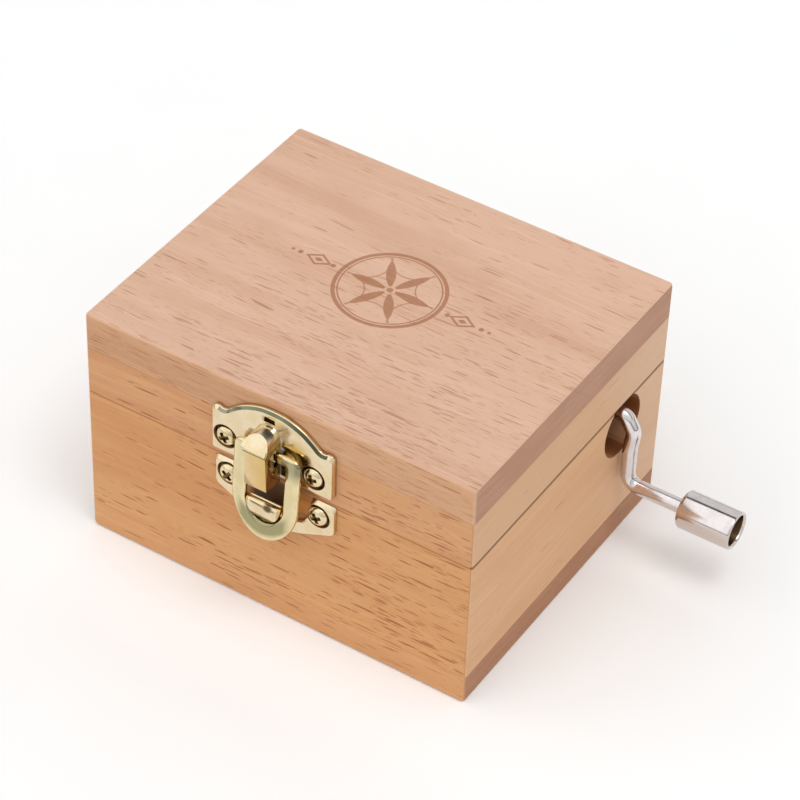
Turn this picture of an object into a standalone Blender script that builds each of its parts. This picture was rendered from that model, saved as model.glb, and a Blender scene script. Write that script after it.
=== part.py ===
"""Small hinged beech box with a hand-cranked comb movement inside.

Frame: origin at the centre of the underside of the wooden case, +X to the
crank side, -Y to the latch side, +Z up.  Dimensions below are millimetres and
are turned into metres where meshes are made.
"""
import math

import bmesh
import bpy
from mathutils import Matrix, Vector

MM = 0.001

# ---- case -----------------------------------------------------------------
CASE_W = 64.0            # along X
CASE_D = 53.0            # along Y
CASE_H = 40.0            # along Z
WALL_T = 5.3             # mitred side walls
TOP_T = 6.0              # lid panel, covers the walls
BOTTOM_T = 4.9           # base panel, covers the walls
SPLIT_Z = 25.8           # parting line between base and lid
SPLIT_GAP = 0.10
GLUE = 0.04              # glue line between boards
CORNER_R = 0.6           # rounded upright corners
EDGE_R = 0.5             # rounded outer edges of the panels
RIM_CHAMFER = 0.18

# ---- crank ----------------------------------------------------------------
CRANK_Y = 14.6
CRANK_Z = 23.8
WIRE_R = 1.12
ARM_X = 33.6
PIN_Z = 11.45
PIN_END_X = 46.4
HOLE_Z = 21.5
HOLE_R = 5.0
KNOB_X0 = 43.0
KNOB_X1 = 51.7
KNOB_R = 2.95
KNOB_BORE_R = 2.35
KNOB_EYE_R = 1.2         # bearing hole round the wire

# ---- movement -------------------------------------------------------------
GEAR_TEETH = 24
GEAR_PITCH_R = 6.2
WORM_PITCH_R = 2.1
WORM_TURNS = 4
CYL_X = 4.0
CYL_Z = CRANK_Z - GEAR_PITCH_R - WORM_PITCH_R
CYL_R = 6.4
CYL_Y0 = -15.0
CYL_Y1 = 10.6
PIN_H = 0.5
ARBOR_R = 1.0
COMB_TEETH = 18
COMB_PITCH = 1.36

# ---- latch ----------------------------------------------------------------
LATCH_X = 0.25
STRIKE_T = 1.0
CATCH_T = 0.6
LOOP_AXIS_D = 2.08       # how far the loop's hinge axis stands off the front
LOOP_AXIS_Z = 32.1
LOOP_HALF_W = 5.45
LOOP_INNER_HALF_W = 3.1
LOOP_BOW = 7.0           # height of the loop's rounded lower end
LOOP_SHIFT = 0.1
LOOP_T = 0.85

# ---- hinges ---------------------------------------------------------------
HINGE_X = (-17.0, 17.0)
HINGE_LEN = 15.0
HINGE_LEAF_H = 8.4
HINGE_LEAF_T = 0.6
HINGE_AXIS_Y = CASE_D / 2 + 1.15
KNUCKLE_R = 1.1
HINGE_PIN_R = 0.55
HINGE_BORE_R = 0.63
LID_STOP_DEG = 105.0

HX, HY = CASE_W / 2, CASE_D / 2
FRONT = -HY
TAU = 2 * math.pi

for old in list(bpy.data.objects):
    bpy.data.objects.remove(old, do_unlink=True)


# ---- materials --------------------------------------------------------------
def material(name, colour, roughness, metallic=0.0):
    m = bpy.data.materials.new(name)
    m.use_nodes = True
    p = m.node_tree.nodes["Principled BSDF"]
    p.inputs["Base Color"].default_value = (*colour, 1.0)
    p.inputs["Roughness"].default_value = roughness
    p.inputs["Metallic"].default_value = metallic
    m.diffuse_color = (*colour, 1.0)
    return m


WOOD = {
    "lid_top_panel": (0.62, 0.40, 0.26),
    "lid_front_wall": (0.58, 0.34, 0.17),
    "lid_back_wall": (0.57, 0.34, 0.18),
    "lid_left_wall": (0.56, 0.34, 0.19),
    "lid_right_wall": (0.57, 0.35, 0.20),
    "base_bottom_panel": (0.56, 0.33, 0.18),
    "base_front_wall": (0.57, 0.32, 0.15),
    "base_back_wall": (0.56, 0.33, 0.17),
    "base_left_wall": (0.55, 0.33, 0.18),
    "base_right_wall": (0.56, 0.34, 0.19),
}


# ---- mesh helpers -----------------------------------------------------------
def prism(poly, place, a, b):
    """Closed prism: 2-D outline, place(u, v, t) gives the point, t from a to b."""
    n = len(poly)
    verts = [place(u, v, a) for u, v in poly] + [place(u, v, b) for u, v in poly]
    faces = [tuple(range(n)), tuple(range(2 * n - 1, n - 1, -1))]
    faces += [(i, (i + 1) % n, n + (i + 1) % n, n + i) for i in range(n)]
    return verts, faces


def stack(rings):
    """Closed solid from equal-length rings of 3-D points, flat at both ends."""
    n = len(rings[0])
    verts = [p for ring in rings for p in ring]
    faces = [tuple(range(n))]
    for k in range(len(rings) - 1):
        o = k * n
        faces += [(o + i, o + (i + 1) % n, o + n + (i + 1) % n, o + n + i)
                  for i in range(n)]
    last = (len(rings) - 1) * n
    faces.append(tuple(range(last + n - 1, last - 1, -1)))
    return verts, faces


def lathe(profile, n, place):
    """Turned solid.  profile = (r, t) pairs; r = 0 ends are closed to a point,
    otherwise the profile is a closed ring section."""
    closed_ring = profile[0][0] > 1e-9
    verts, rows = [], []
    for r, t in profile:
        if r < 1e-9:
            rows.append([len(verts)])
            verts.append(place(0.0, 0.0, t))
        else:
            row = []
            for i in range(n):
                a = TAU * i / n
                row.append(len(verts))
                verts.append(place(r * math.cos(a), r * math.sin(a), t))
            rows.append(row)
    faces = []
    pairs = list(zip(rows, rows[1:]))
    if closed_ring:
        pairs.append((rows[-1], rows[0]))
    for lo, hi in pairs:
        for i in range(n):
            j = (i + 1) % n
            if len(lo) == 1:
                faces.append((lo[0], hi[j], hi[i]))
            elif len(hi) == 1:
                faces.append((lo[i], lo[j], hi[0]))
            else:
                faces.append((lo[i], lo[j], hi[j], hi[i]))
    return verts, faces


def along_x(u, v, t):
    return (t, u, v)


def along_y(u, v, t):
    return (u, t, v)


def along_z(u, v, t):
    return (u, v, t)


def shifted(place, dx, dy, dz):
    def at(u, v, t):
        x, y, z = place(u, v, t)
        return (x + dx, y + dy, z + dz)
    return at


def merged(*parts):
    verts, faces = [], []
    for v, f in parts:
        o = len(verts)
        verts += list(v)
        faces += [tuple(i + o for i in face) for face in f]
    return verts, faces


def mesh_from(name, shape, origin=(0, 0, 0), smooth=None):
    verts, faces = shape
    me = bpy.data.meshes.new(name)
    o = Vector(origin)
    me.from_pydata([(Vector(v) - o) * MM for v in verts], [], faces)
    bm = bmesh.new()
    bm.from_mesh(me)
    bmesh.ops.recalc_face_normals(bm, faces=bm.faces)
    bm.to_mesh(me)
    bm.free()
    if smooth is not None:
        me.shade_smooth()
        me.set_sharp_from_angle(angle=math.radians(smooth))
    return me


def add(name, shape, mat, origin=(0, 0, 0), smooth=None, parent=None):
    me = shape if isinstance(shape, bpy.types.Mesh) else mesh_from(
        name, shape, origin, smooth)
    ob = bpy.data.objects.new(name, me)
    bpy.context.scene.collection.objects.link(ob)
    if isinstance(mat, bpy.types.Material) and not me.materials:
        me.materials.append(mat)
    ob.location = Vector(origin) * MM
    if parent is not None:
        ob.parent = parent
        ob.location = Vector(origin) * MM - parent.location
    return ob


def pivot(name, origin):
    e = bpy.data.objects.new(name, None)
    e.empty_display_size = 0.01
    bpy.context.scene.collection.objects.link(e)
    e.location = Vector(origin) * MM
    return e


def tool(name, shape):
    ob = bpy.data.objects.new(name, mesh_from(name, shape))
    bpy.context.scene.collection.objects.link(ob)
    ob.hide_render = True
    ob.display_type = "WIRE"
    return ob


def boolean(ob, operation, shape):
    m = ob.modifiers.new(operation.lower(), "BOOLEAN")
    m.operation = operation
    m.solver = "EXACT"
    m.object = tool("%s_%s_%d" % (ob.name, operation.lower(),
                                  len(ob.modifiers)), shape)
    return m


def cut(ob, *shapes):
    boolean(ob, "DIFFERENCE", merged(*shapes))


def join(ob, *shapes):
    boolean(ob, "UNION", merged(*shapes))


def common(name, a, b):
    """The volume that two closed shapes share, as vertices and faces in mm."""
    ob = bpy.data.objects.new(name, mesh_from(name, a))
    bpy.context.scene.collection.objects.link(ob)
    other = tool(name + "_tool", b)
    m = ob.modifiers.new("common", "BOOLEAN")
    m.operation = "INTERSECT"
    m.solver = "EXACT"
    m.object = other
    deps = bpy.context.evaluated_depsgraph_get()
    me = bpy.data.meshes.new_from_object(ob.evaluated_get(deps))
    verts = [tuple(v.co / MM) for v in me.vertices]
    faces = [tuple(p.vertices) for p in me.polygons]
    bpy.data.objects.remove(ob, do_unlink=True)
    bpy.data.objects.remove(other, do_unlink=True)
    return verts, faces


def arc(cx, cy, r, a0, a1, k):
    return [(cx + r * math.cos(math.radians(a0 + (a1 - a0) * i / k)),
             cy + r * math.sin(math.radians(a0 + (a1 - a0) * i / k)))
            for i in range(k + 1)]


def circle(cx, cy, r, n, a0=0.0):
    return [(cx + r * math.cos(a0 + TAU * i / n),
             cy + r * math.sin(a0 + TAU * i / n)) for i in range(n)]


def box(x0, x1, y0, y1, z0, z1):
    return prism([(x0, y0), (x1, y0), (x1, y1), (x0, y1)], along_z, z0, z1)


def drill_x(y, z, r, x0, x1, n=24):
    return prism(circle(y, z, r, n), along_x, x0, x1)


def drill_y(x, z, r, y0, y1, n=24):
    return prism(circle(x, z, r, n), along_y, y0, y1)


def drill_z(x, y, r, z0, z1, n=24):
    return prism(circle(x, y, r, n), along_z, z0, z1)


# ---- boards -----------------------------------------------------------------
def rounded_rect(hx, hy, r, k=4):
    return (arc(hx - r, hy - r, r, 0, 90, k) + arc(-hx + r, hy - r, r, 90, 180, k)
            + arc(-hx + r, -hy + r, r, 180, 270, k)
            + arc(hx - r, -hy + r, r, 270, 360, k))


def slab(z0, z1, r_bottom, r_top, k=3):
    """Panel with rounded upright corners and a rounded lower or upper edge."""
    levels = []
    if r_bottom:
        levels += [(z0 + r_bottom * (1 - math.cos(a)), r_bottom * (1 - math.sin(a)))
                   for a in (math.pi / 2 * i / k for i in range(k + 1))]
    else:
        levels.append((z0, 0.0))
    if r_top:
        levels += [(z1 - r_top * (1 - math.cos(a)), r_top * (1 - math.sin(a)))
                   for a in (math.pi / 2 * (k - i) / k for i in range(k + 1))]
    else:
        levels.append((z1, 0.0))
    rings = []
    for z, inset in levels:
        r = max(CORNER_R - inset, 0.2)
        rings.append([(x, y, z) for x, y in
                      rounded_rect(HX - inset, HY - inset, r)])
    return stack(rings)


def wall_outline(a, b, inset, k=3):
    """Mitred board seen from above: its outer face is y = -b, from x = -a to a."""
    g = GLUE * 0.7
    r = CORNER_R - inset
    a_o, b_o = a - inset, b - inset
    left = arc(-a_o + r, -b_o + r, r, 225, 270, k)
    right = arc(a_o - r, -b_o + r, r, 270, 315, k)
    left[0] = (left[0][0] + g, left[0][1])
    right[-1] = (right[-1][0] - g, right[-1][1])
    return left + right + [(a - WALL_T - g, -b + WALL_T),
                           (-a + WALL_T + g, -b + WALL_T)]


TURNS = {"front": 0, "right": 1, "back": 2, "left": 3}


def wall(side, z0, z1, rim):
    """rim is 'top' or 'bottom': the end at the parting line, lightly chamfered."""
    q = TURNS[side]
    a, b = (HX, HY) if q % 2 == 0 else (HY, HX)
    levels = [(z0, RIM_CHAMFER if rim == "bottom" else 0.0)]
    if rim == "bottom":
        levels.append((z0 + RIM_CHAMFER, 0.0))
    if rim == "top":
        levels.append((z1 - RIM_CHAMFER, 0.0))
    levels.append((z1, RIM_CHAMFER if rim == "top" else 0.0))
    rings = []
    for z, inset in levels:
        ring = []
        for x, y in wall_outline(a, b, inset):
            for _ in range(q):
                x, y = -y, x
            ring.append((x, y, z))
        rings.append(ring)
    return stack(rings)


LID_Z0 = SPLIT_Z + SPLIT_GAP / 2
BASE_Z1 = SPLIT_Z - SPLIT_GAP / 2
LID_WALL_Z1 = CASE_H - TOP_T - GLUE
BASE_WALL_Z0 = BOTTOM_T

hinge_axis = (0.0, HINGE_AXIS_Y, SPLIT_Z)
lid_pivot = pivot("lid_pivot", hinge_axis)

boards = {}
for name, colour in WOOD.items():
    mat = material("beech_" + name, colour, 0.55)
    if name == "lid_top_panel":
        shape = slab(CASE_H - TOP_T, CASE_H, 0.0, EDGE_R)
    elif name == "base_bottom_panel":
        shape = slab(0.0, BOTTOM_T - GLUE, EDGE_R, 0.0)
    else:
        part, side, _ = name.split("_")
        if part == "lid":
            shape = wall(side, LID_Z0, LID_WALL_Z1, "bottom")
        else:
            shape = wall(side, BASE_WALL_Z0, BASE_Z1, "top")
    is_lid = name.startswith("lid")
    boards[name] = add(name, shape, mat, smooth=40,
                       origin=hinge_axis if is_lid else (0, 0, 0),
                       parent=lid_pivot if is_lid else None)

# round opening for the crank, run out through the rim
cut(boards["base_right_wall"],
    drill_x(CRANK_Y, HOLE_Z, HOLE_R, HX - WALL_T - 1, HX + 1, 40))


# ---- screws -----------------------------------------------------------------
def cross_prism(place, arm, half_w, deep, top, taper=0.5):
    w, a = half_w, arm
    outline = [(w, w), (w, a), (-w, a), (-w, w), (-a, w), (-a, -w), (-w, -w),
               (-w, -a), (w, -a), (w, -w), (a, -w), (a, w)]
    rings = []
    for t, s in ((top - deep, taper), (top + 0.3, 1.0 + 0.15)):
        rings.append([place(u * s, v * s, t) for u, v in outline])
    return stack(rings)


def screw_mesh(name, head, shank_r, length, mat, cross, n=20):
    """Head profile (r, t) from the crown down to t = 0, then the shank to -length."""
    profile = list(head) + [(shank_r, 0.0), (shank_r, -length + 1.6 * shank_r),
                            (0.0, -length)]
    ob = bpy.data.objects.new(name + "_blank", mesh_from(
        name + "_blank", lathe(profile, n, along_z), smooth=40))
    bpy.context.scene.collection.objects.link(ob)
    arm, half_w, deep = cross
    cutter = tool(name + "_cross", cross_prism(along_z, arm, half_w, deep,
                                               head[0][1]))
    m = ob.modifiers.new("cross", "BOOLEAN")
    m.operation = "DIFFERENCE"
    m.solver = "EXACT"
    m.object = cutter
    deps = bpy.context.evaluated_depsgraph_get()
    me = bpy.data.meshes.new_from_object(ob.evaluated_get(deps))
    me.name = name
    me.materials.clear()
    me.materials.append(mat)
    bpy.data.objects.remove(ob, do_unlink=True)
    bpy.data.objects.remove(cutter, do_unlink=True)
    return me


def place_screw(name, me, at, out, turn, parent=None):
    """out is the direction the head faces."""
    ob = bpy.data.objects.new(name, me)
    bpy.context.scene.collection.objects.link(ob)
    q = Vector(out).to_track_quat("Z", "Y") @ Matrix.Rotation(
        math.radians(turn), 3, "Z").to_quaternion()
    ob.rotation_mode = "QUATERNION"
    ob.rotation_quaternion = q
    ob.location = Vector(at) * MM
    if parent is not None:
        ob.parent = parent
        ob.location -= parent.location
    return ob


BRASS_SCREW = material("brass_screw", (0.62, 0.47, 0.23), 0.32, 1.0)
STEEL_SCREW = material("steel_screw", (0.55, 0.54, 0.52), 0.35, 1.0)

latch_screw = screw_mesh(
    "latch_screw", [(0.0, 0.95), (0.75, 0.90), (1.25, 0.70), (1.55, 0.34),
                    (1.6, 0.0)], 0.9, 4.9, BRASS_SCREW, (1.02, 0.24, 0.62), 18)
hinge_screw = screw_mesh(
    "hinge_screw", [(0.0, 0.78), (0.85, 0.70), (1.35, 0.40)],
    0.7, 4.0, BRASS_SCREW, (0.9, 0.2, 0.5), 12)
movement_screw = screw_mesh(
    "movement_screw", [(0.0, 1.25), (1.3, 1.15), (1.85, 0.8), (1.95, 0.0)],
    1.1, 6.0, STEEL_SCREW, (1.3, 0.28, 0.8), 14)


# ---- latch ------------------------------------------------------------------
BRASS = material("plated_brass", (0.80, 0.62, 0.28), 0.22, 1.0)


def on_front(u, z, d):
    """Point d millimetres proud of the front face."""
    return (LATCH_X + u, FRONT - d, z)


def side_of_latch(d, z, x):
    return (x, FRONT - d, z)


def inset_outline(pts, amounts):
    """Offset a counter-clockwise outline inwards, one amount for each edge."""
    n = len(pts)
    lines = []
    for i in range(n):
        (x0, y0), (x1, y1) = pts[i], pts[(i + 1) % n]
        dx, dy = x1 - x0, y1 - y0
        l = math.hypot(dx, dy)
        nx, ny = -dy / l, dx / l
        a = amounts[i]
        lines.append(((x0 + nx * a, y0 + ny * a), (dx / l, dy / l)))
    out = []
    for i in range(n):
        (px, py), (ux, uy) = lines[i - 1]
        (qx, qy), (vx, vy) = lines[i]
        det = ux * vy - uy * vx
        if abs(det) < 1e-6:
            out.append((qx, qy))
        else:
            t = ((qx - px) * vy - (qy - py) * vx) / det
            out.append((px + ux * t, py + uy * t))
    return out


# strike plate: arched top with an ear at each end, bevelled along the arch
half = [(0.0, 38.45), (1.8, 38.33), (3.5, 37.85), (5.2, 37.05), (6.7, 35.95),
        (7.5, 35.22), (8.0, 34.98), (8.5, 34.98), (8.9, 35.18), (9.5, 35.15),
        (9.95, 34.75)]
strike = ([(-x, z) for x, z in reversed(half[1:])] + half)
n_arch = len(strike)
strike = ([(-9.95, 27.95), (-9.9, 27.75), (-9.75, 27.6), (-9.5, 27.5)]
          + [(9.5, 27.5), (9.75, 27.6), (9.9, 27.75), (9.95, 27.95)]
          + list(reversed(strike)))
amounts = []
for i, (x, z) in enumerate(strike):
    x1, z1 = strike[(i + 1) % len(strike)]
    amounts.append(0.42 if (z > 34.0 and z1 > 34.0) else 0.12)
strike_in = inset_outline(strike, amounts)

STRIKE_SCREWS = [(-7.45, 30.4), (7.0, 30.15)]
CATCH_SCREWS = [(-7.15, 23.35), (7.65, 23.1)]

plate = add("latch_strike_plate",
            stack([[on_front(u, z, 0.03) for u, z in strike],
                   [on_front(u, z, 0.30) for u, z in strike],
                   [on_front(u, z, STRIKE_T) for u, z in strike_in]]),
            BRASS, smooth=30, origin=hinge_axis, parent=lid_pivot)

BILL_HALF_W = 2.4
BILL_FLANGE = 0.65
BILL_TOP = 36.35
bill_side = [(0.4, 36.6), (2.85, 36.6), (4.95, 33.9), (5.0, 33.2), (5.0, 27.85),
             (1.6, 27.6), (1.6, 30.9), (3.0, 30.9), (3.0, 33.3), (0.4, 33.3)]
bill_void = [(1.2, 26.0), (4.35, 26.0), (4.35, 33.6), (2.5, 36.1), (1.2, 36.1)]


def arched(half_w, top, k=12):
    """Front outline of the bill: straight sides under a round arch."""
    return ([(-half_w, 25.0), (half_w, 25.0)]
            + arc(0.0, top - half_w, half_w, 0, 180, k))


join(plate, common("bill", prism(bill_side, side_of_latch, LATCH_X - 4, LATCH_X + 4),
                   prism(arched(BILL_HALF_W, BILL_TOP), on_front, 0.2, 6.0)))
cut(plate, common("bill_hollow",
                  prism(bill_void, side_of_latch, LATCH_X - 4, LATCH_X + 4),
                  prism(arched(BILL_HALF_W - BILL_FLANGE, BILL_TOP - BILL_FLANGE),
                        on_front, 0.2, 6.0)))


def dish(x, z, front, floor):
    """Sunk seat and clearance hole for a latch screw."""
    profile = [(0.0, front + 0.4), (2.12, front + 0.4), (2.1, front),
               (1.76, floor), (1.15, floor), (1.15, -0.5), (0.0, -0.5)]
    return lathe(profile, 18, lambda u, v, t: (x + u, FRONT - t, z + v))


cut(plate, *[dish(x, z, STRIKE_T, 0.5) for x, z in STRIKE_SCREWS],
    prism([(-1.4, 36.45), (1.15, 36.45), (1.15, 36.95), (-1.4, 36.95)],
          on_front, -0.5, 2.0))

# catch plate: a winged plate on the base with an upturned tongue
wing = [(0.0, 17.5), (2.6, 17.65), (4.6, 18.3), (9.2, 20.45), (9.7, 20.8),
        (9.9, 21.3), (9.9, 25.45), (9.7, 25.65), (6.3, 25.65), (5.95, 23.6),
        (5.6, 21.9), (5.0, 20.95), (4.2, 20.45), (3.4, 20.4), (2.9, 20.7),
        (0.0, 20.7)]
catch = ([(x + 0.25 if x > 9 else x, z) for x, z in wing[:-1]]
         + [(0.25 - x if x > 9 else -x, z) for x, z in reversed(wing[1:-1])])
catch_in = inset_outline(catch, [0.06] * len(catch))
catch_plate = add("latch_catch_plate",
                  stack([[on_front(u, z, 0.03) for u, z in catch],
                         [on_front(u, z, CATCH_T - 0.08) for u, z in catch],
                         [on_front(u, z, CATCH_T) for u, z in catch_in]]),
                  BRASS, smooth=30)
tongue_side = [(0.2, 18.5), (1.2, 18.5), (1.85, 18.75), (2.25, 19.3),
               (2.38, 20.1), (2.46, 21.4), (2.5, 23.3), (2.4, 23.62),
               (2.12, 23.68), (1.97, 23.4), (1.9, 21.4), (1.83, 20.3),
               (1.65, 19.75), (1.2, 19.4), (0.2, 19.4)]
join(catch_plate, prism(tongue_side, side_of_latch, LATCH_X - 2.5,
                        LATCH_X + 2.4))
cut(catch_plate, *[dish(x, z, CATCH_T, 0.25) for x, z in CATCH_SCREWS])


# loop: a stamped ring with a straight hinge bar, hanging over the tongue
def loop_back(z):
    return 1.64 + (LOOP_AXIS_Z - z) * 0.088


def loop_mesh():
    outer, inner = [], []
    top_o, top_i = LOOP_AXIS_Z + 0.7, LOOP_AXIS_Z - 0.7
    bottom = 17.4
    ro, k = 1.3, 4
    # outer outline, counter-clockwise from the bottom: a half ellipse
    cz = bottom + LOOP_BOW
    zi = bottom + 2.75 + 3.7
    for i in range(17):
        a = math.radians(180 + 180 * i / 16)
        outer.append((LOOP_HALF_W * math.cos(a), cz + LOOP_BOW * math.sin(a)))
        inner.append((LOOP_INNER_HALF_W * math.cos(a), zi + 3.7 * math.sin(a)))
    for z in (27.0,):
        outer.append((LOOP_HALF_W, z))
        inner.append((LOOP_INNER_HALF_W, z))
    ri = 0.5
    outer += arc(LOOP_HALF_W - ro, top_o - ro, ro, 0, 90, k)
    inner += arc(LOOP_INNER_HALF_W - ri, top_i - ri, ri, 0, 90, k)
    outer += [(0.0, top_o)]
    inner += [(0.0, top_i)]
    outer += arc(-LOOP_HALF_W + ro, top_o - ro, ro, 90, 180, k)
    inner += arc(-LOOP_INNER_HALF_W + ri, top_i - ri, ri, 90, 180, k)
    for z in (27.0,):
        outer.append((-LOOP_HALF_W, z))
        inner.append((-LOOP_INNER_HALF_W, z))
    c = 0.22
    verts, faces = [], []
    for (ox, oz), (ix, iz) in zip(outer, inner):
        l = math.hypot(ox - ix, oz - iz)
        ex, ez = (ox - ix) / l, (oz - iz) / l
        low = max(0.0, min(1.0, (21.0 - oz) / 3.5))    # lip of the bottom bow
        fall = 0.42 * low

        def p(f, depth):
            x, z = ix + ex * f, iz + ez * f
            return (LATCH_X + LOOP_SHIFT + x,
                    FRONT - (loop_back(z) + depth), z)
        t = LOOP_T
        verts += [p(0, c), p(0, t - c), p(c, t), p(l * 0.45, t - fall * 0.12),
                  p(l - c, t - fall), p(l, t - c - fall), p(l, c * 0.5),
                  p(l - c, 0), p(c, 0)]
    m, n = 9, len(outer)
    for i in range(n):
        j = (i + 1) % n
        for q in range(m):
            w = (q + 1) % m
            faces.append((i * m + q, i * m + w, j * m + w, j * m + q))
    return verts, faces


loop_axis = (LATCH_X, FRONT - LOOP_AXIS_D, LOOP_AXIS_Z)
loop_pivot = pivot("loop_pivot", loop_axis)
loop_pivot.parent = lid_pivot
loop_pivot.location -= lid_pivot.location
loop = add("latch_loop", mesh_from("latch_loop", loop_mesh(), loop_axis, 35),
           BRASS)
loop.parent = loop_pivot

for i, ((x, z), side) in enumerate(zip(STRIKE_SCREWS, ("left", "right"))):
    place_screw("latch_screw_upper_" + side, latch_screw,
                (x, FRONT - 0.55, z), (0, -1, 0), 24 + 31 * i, lid_pivot)
for i, ((x, z), side) in enumerate(zip(CATCH_SCREWS, ("left", "right"))):
    place_screw("latch_screw_lower_" + side, latch_screw,
                (x, FRONT - 0.30, z), (0, -1, 0), 47 + 22 * i)

for wall_name, spots in (("lid_front_wall", STRIKE_SCREWS),
                         ("base_front_wall", CATCH_SCREWS)):
    cut(boards[wall_name],
        *[drill_y(x, z, 1.0, FRONT - 0.5, FRONT + 4.9, 12) for x, z in spots])


# ---- hinges -----------------------------------------------------------------
def knuckle_profile(sign):
    """Barrel section and its neck, for a leaf above (+1) or below (-1)."""
    y0, y1 = HY + 0.05, HY + 0.03 + HINGE_LEAF_T
    a = math.degrees(math.acos((HINGE_AXIS_Y - y1) / KNUCKLE_R))
    pts = arc(0, 0, KNUCKLE_R, -180, 180 - a, 12)
    out = [(HINGE_AXIS_Y + y, SPLIT_Z + sign * z) for y, z in pts]
    out += [(y1, SPLIT_Z + sign * 1.6), (y0, SPLIT_Z + sign * 1.6)]
    return out


def turned(pts, degrees):
    c, s = math.cos(math.radians(degrees)), math.sin(math.radians(degrees))
    return [(HINGE_AXIS_Y + c * y - s * z, SPLIT_Z + s * y + c * z)
            for y, z in pts]


def leaf(name, cx, sign, parent):
    y0, y1 = HY + 0.03, HY + 0.03 + HINGE_LEAF_T
    h, c = HINGE_LEN / 2, 0.9
    outline = [(cx - h, 1.3), (cx + h, 1.3), (cx + h, HINGE_LEAF_H - c),
               (cx + h - c, HINGE_LEAF_H), (cx - h + c, HINGE_LEAF_H),
               (cx - h, HINGE_LEAF_H - c)]
    outline = [(x, SPLIT_Z + sign * z) for x, z in outline]
    ob = add(name, prism(outline, along_y, y0, y1), BRASS, smooth=30,
             origin=hinge_axis if parent else (0, 0, 0), parent=parent)
    spans = ([(cx - 2.45, cx + 2.45)] if sign > 0 else
             [(cx - h, cx - 2.55), (cx + 2.55, cx + h)])
    join(ob, *[prism(knuckle_profile(sign), along_x, a, b) for a, b in spans])
    if sign > 0:
        # tail that comes to rest on the lower leaf when the lid is fully open
        tail = [(-0.49, -0.85), (0.11, -0.85), (0.11, -3.1), (-0.49, -3.1)]
        join(ob, prism(turned(tail, LID_STOP_DEG), along_x,
                       cx - 2.2, cx + 2.2))
    bores = [prism(circle(HINGE_AXIS_Y, SPLIT_Z, HINGE_BORE_R, 16), along_x,
                   cx - h - 1, cx + h + 1)]
    sinks = []
    for dx in (-4.4, 4.4):
        profile = [(0.0, y1 + 0.4), (1.95, y1 + 0.4), (1.6, y1 + 0.02),
                   (1.45, y0 + 0.22), (0.9, y0 + 0.22), (0.9, y0 - 0.4),
                   (0.0, y0 - 0.4)]
        sinks.append(lathe(profile, 12, lambda u, v, t, x=cx + dx: (
            x + u, t, SPLIT_Z + sign * 5.2 + v)))
    cut(ob, *bores, *sinks)
    return ob


HINGE_PIN = material("hinge_pin", (0.72, 0.56, 0.28), 0.28, 1.0)
for cx, side in zip(HINGE_X, ("left", "right")):
    leaf("hinge_%s_lid_leaf" % side, cx, 1, lid_pivot)
    leaf("hinge_%s_base_leaf" % side, cx, -1, None)
    h = HINGE_LEN / 2
    add("hinge_%s_pin" % side,
        lathe([(0.0, cx - h - 0.35), (0.45, cx - h - 0.35), (0.85, cx - h - 0.2),
               (0.85, cx - h - 0.05), (HINGE_PIN_R, cx - h - 0.05),
               (HINGE_PIN_R, cx + h + 0.05), (0.85, cx + h + 0.05),
               (0.85, cx + h + 0.2), (0.45, cx + h + 0.35),
               (0.0, cx + h + 0.35)], 16,
              shifted(along_x, 0, HINGE_AXIS_Y, SPLIT_Z)),
        HINGE_PIN, smooth=40, origin=(0, HINGE_AXIS_Y, SPLIT_Z))
    for dx, where in ((-4.4, "outer"), (4.4, "inner")):
        if side == "right":
            where = {"outer": "inner", "inner": "outer"}[where]
        turn = 10 + 35 * (dx > 0)
        place_screw("hinge_%s_lid_screw_%s" % (side, where), hinge_screw,
                    (cx + dx, HY + 0.30, SPLIT_Z + 5.2), (0, 1, 0), turn,
                    lid_pivot)
        place_screw("hinge_%s_base_screw_%s" % (side, where), hinge_screw,
                    (cx + dx, HY + 0.30, SPLIT_Z - 5.2), (0, 1, 0), turn + 20)

for wall_name, sign in (("lid_back_wall", 1), ("base_back_wall", -1)):
    cut(boards[wall_name],
        *[drill_y(cx + dx, SPLIT_Z + sign * 5.2, 0.8, HY - 4.2, HY + 0.5, 12)
          for cx in HINGE_X for dx in (-4.4, 4.4)])

# ---- crank ------------------------------------------------------------------
CHROME = material("bright_nickel", (0.78, 0.78, 0.80), 0.14, 1.0)
crank_axis = (0.0, CRANK_Y, CRANK_Z)
crank_pivot = pivot("crank_pivot", crank_axis)


def filleted(points, radii, k=5):
    """2-D polyline with its corners rounded; returns the points in order."""
    out = [points[0]]
    for i in range(1, len(points) - 1):
        p0, p1, p2 = (Vector(points[i - 1]), Vector(points[i]),
                      Vector(points[i + 1]))
        a, b = (p0 - p1).normalized(), (p2 - p1).normalized()
        ang = a.angle(b)
        r = radii[i - 1]
        d = r / math.tan(ang / 2)
        start, end = p1 + a * d, p1 + b * d
        c = p1 + (a + b).normalized() * (r / math.sin(ang / 2))
        v0, v1 = start - c, end - c
        total = v0.angle(v1)
        s = 1 if v0.x * v1.y - v0.y * v1.x > 0 else -1
        for j in range(k + 1):
            th = s * total * j / k
            out.append((c.x + v0.x * math.cos(th) - v0.y * math.sin(th),
                        c.y + v0.x * math.sin(th) + v0.y * math.cos(th)))
    out.append(points[-1])
    return out


def wire(path, r, n, y):
    """Round wire along a path in the x-z plane, closed at both ends."""
    rings = []
    for i, p in enumerate(path):
        p = Vector(p)
        t = Vector((0, 0))
        if i:
            t += (p - Vector(path[i - 1])).normalized()
        if i < len(path) - 1:
            t += (Vector(path[i + 1]) - p).normalized()
        t.normalize()
        nrm = Vector((-t.y, t.x))
        rings.append([(p.x + nrm.x * r * math.cos(TAU * j / n),
                       y + r * math.sin(TAU * j / n),
                       p.y + nrm.y * r * math.cos(TAU * j / n))
                      for j in range(n)])
    return stack(rings)


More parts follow.
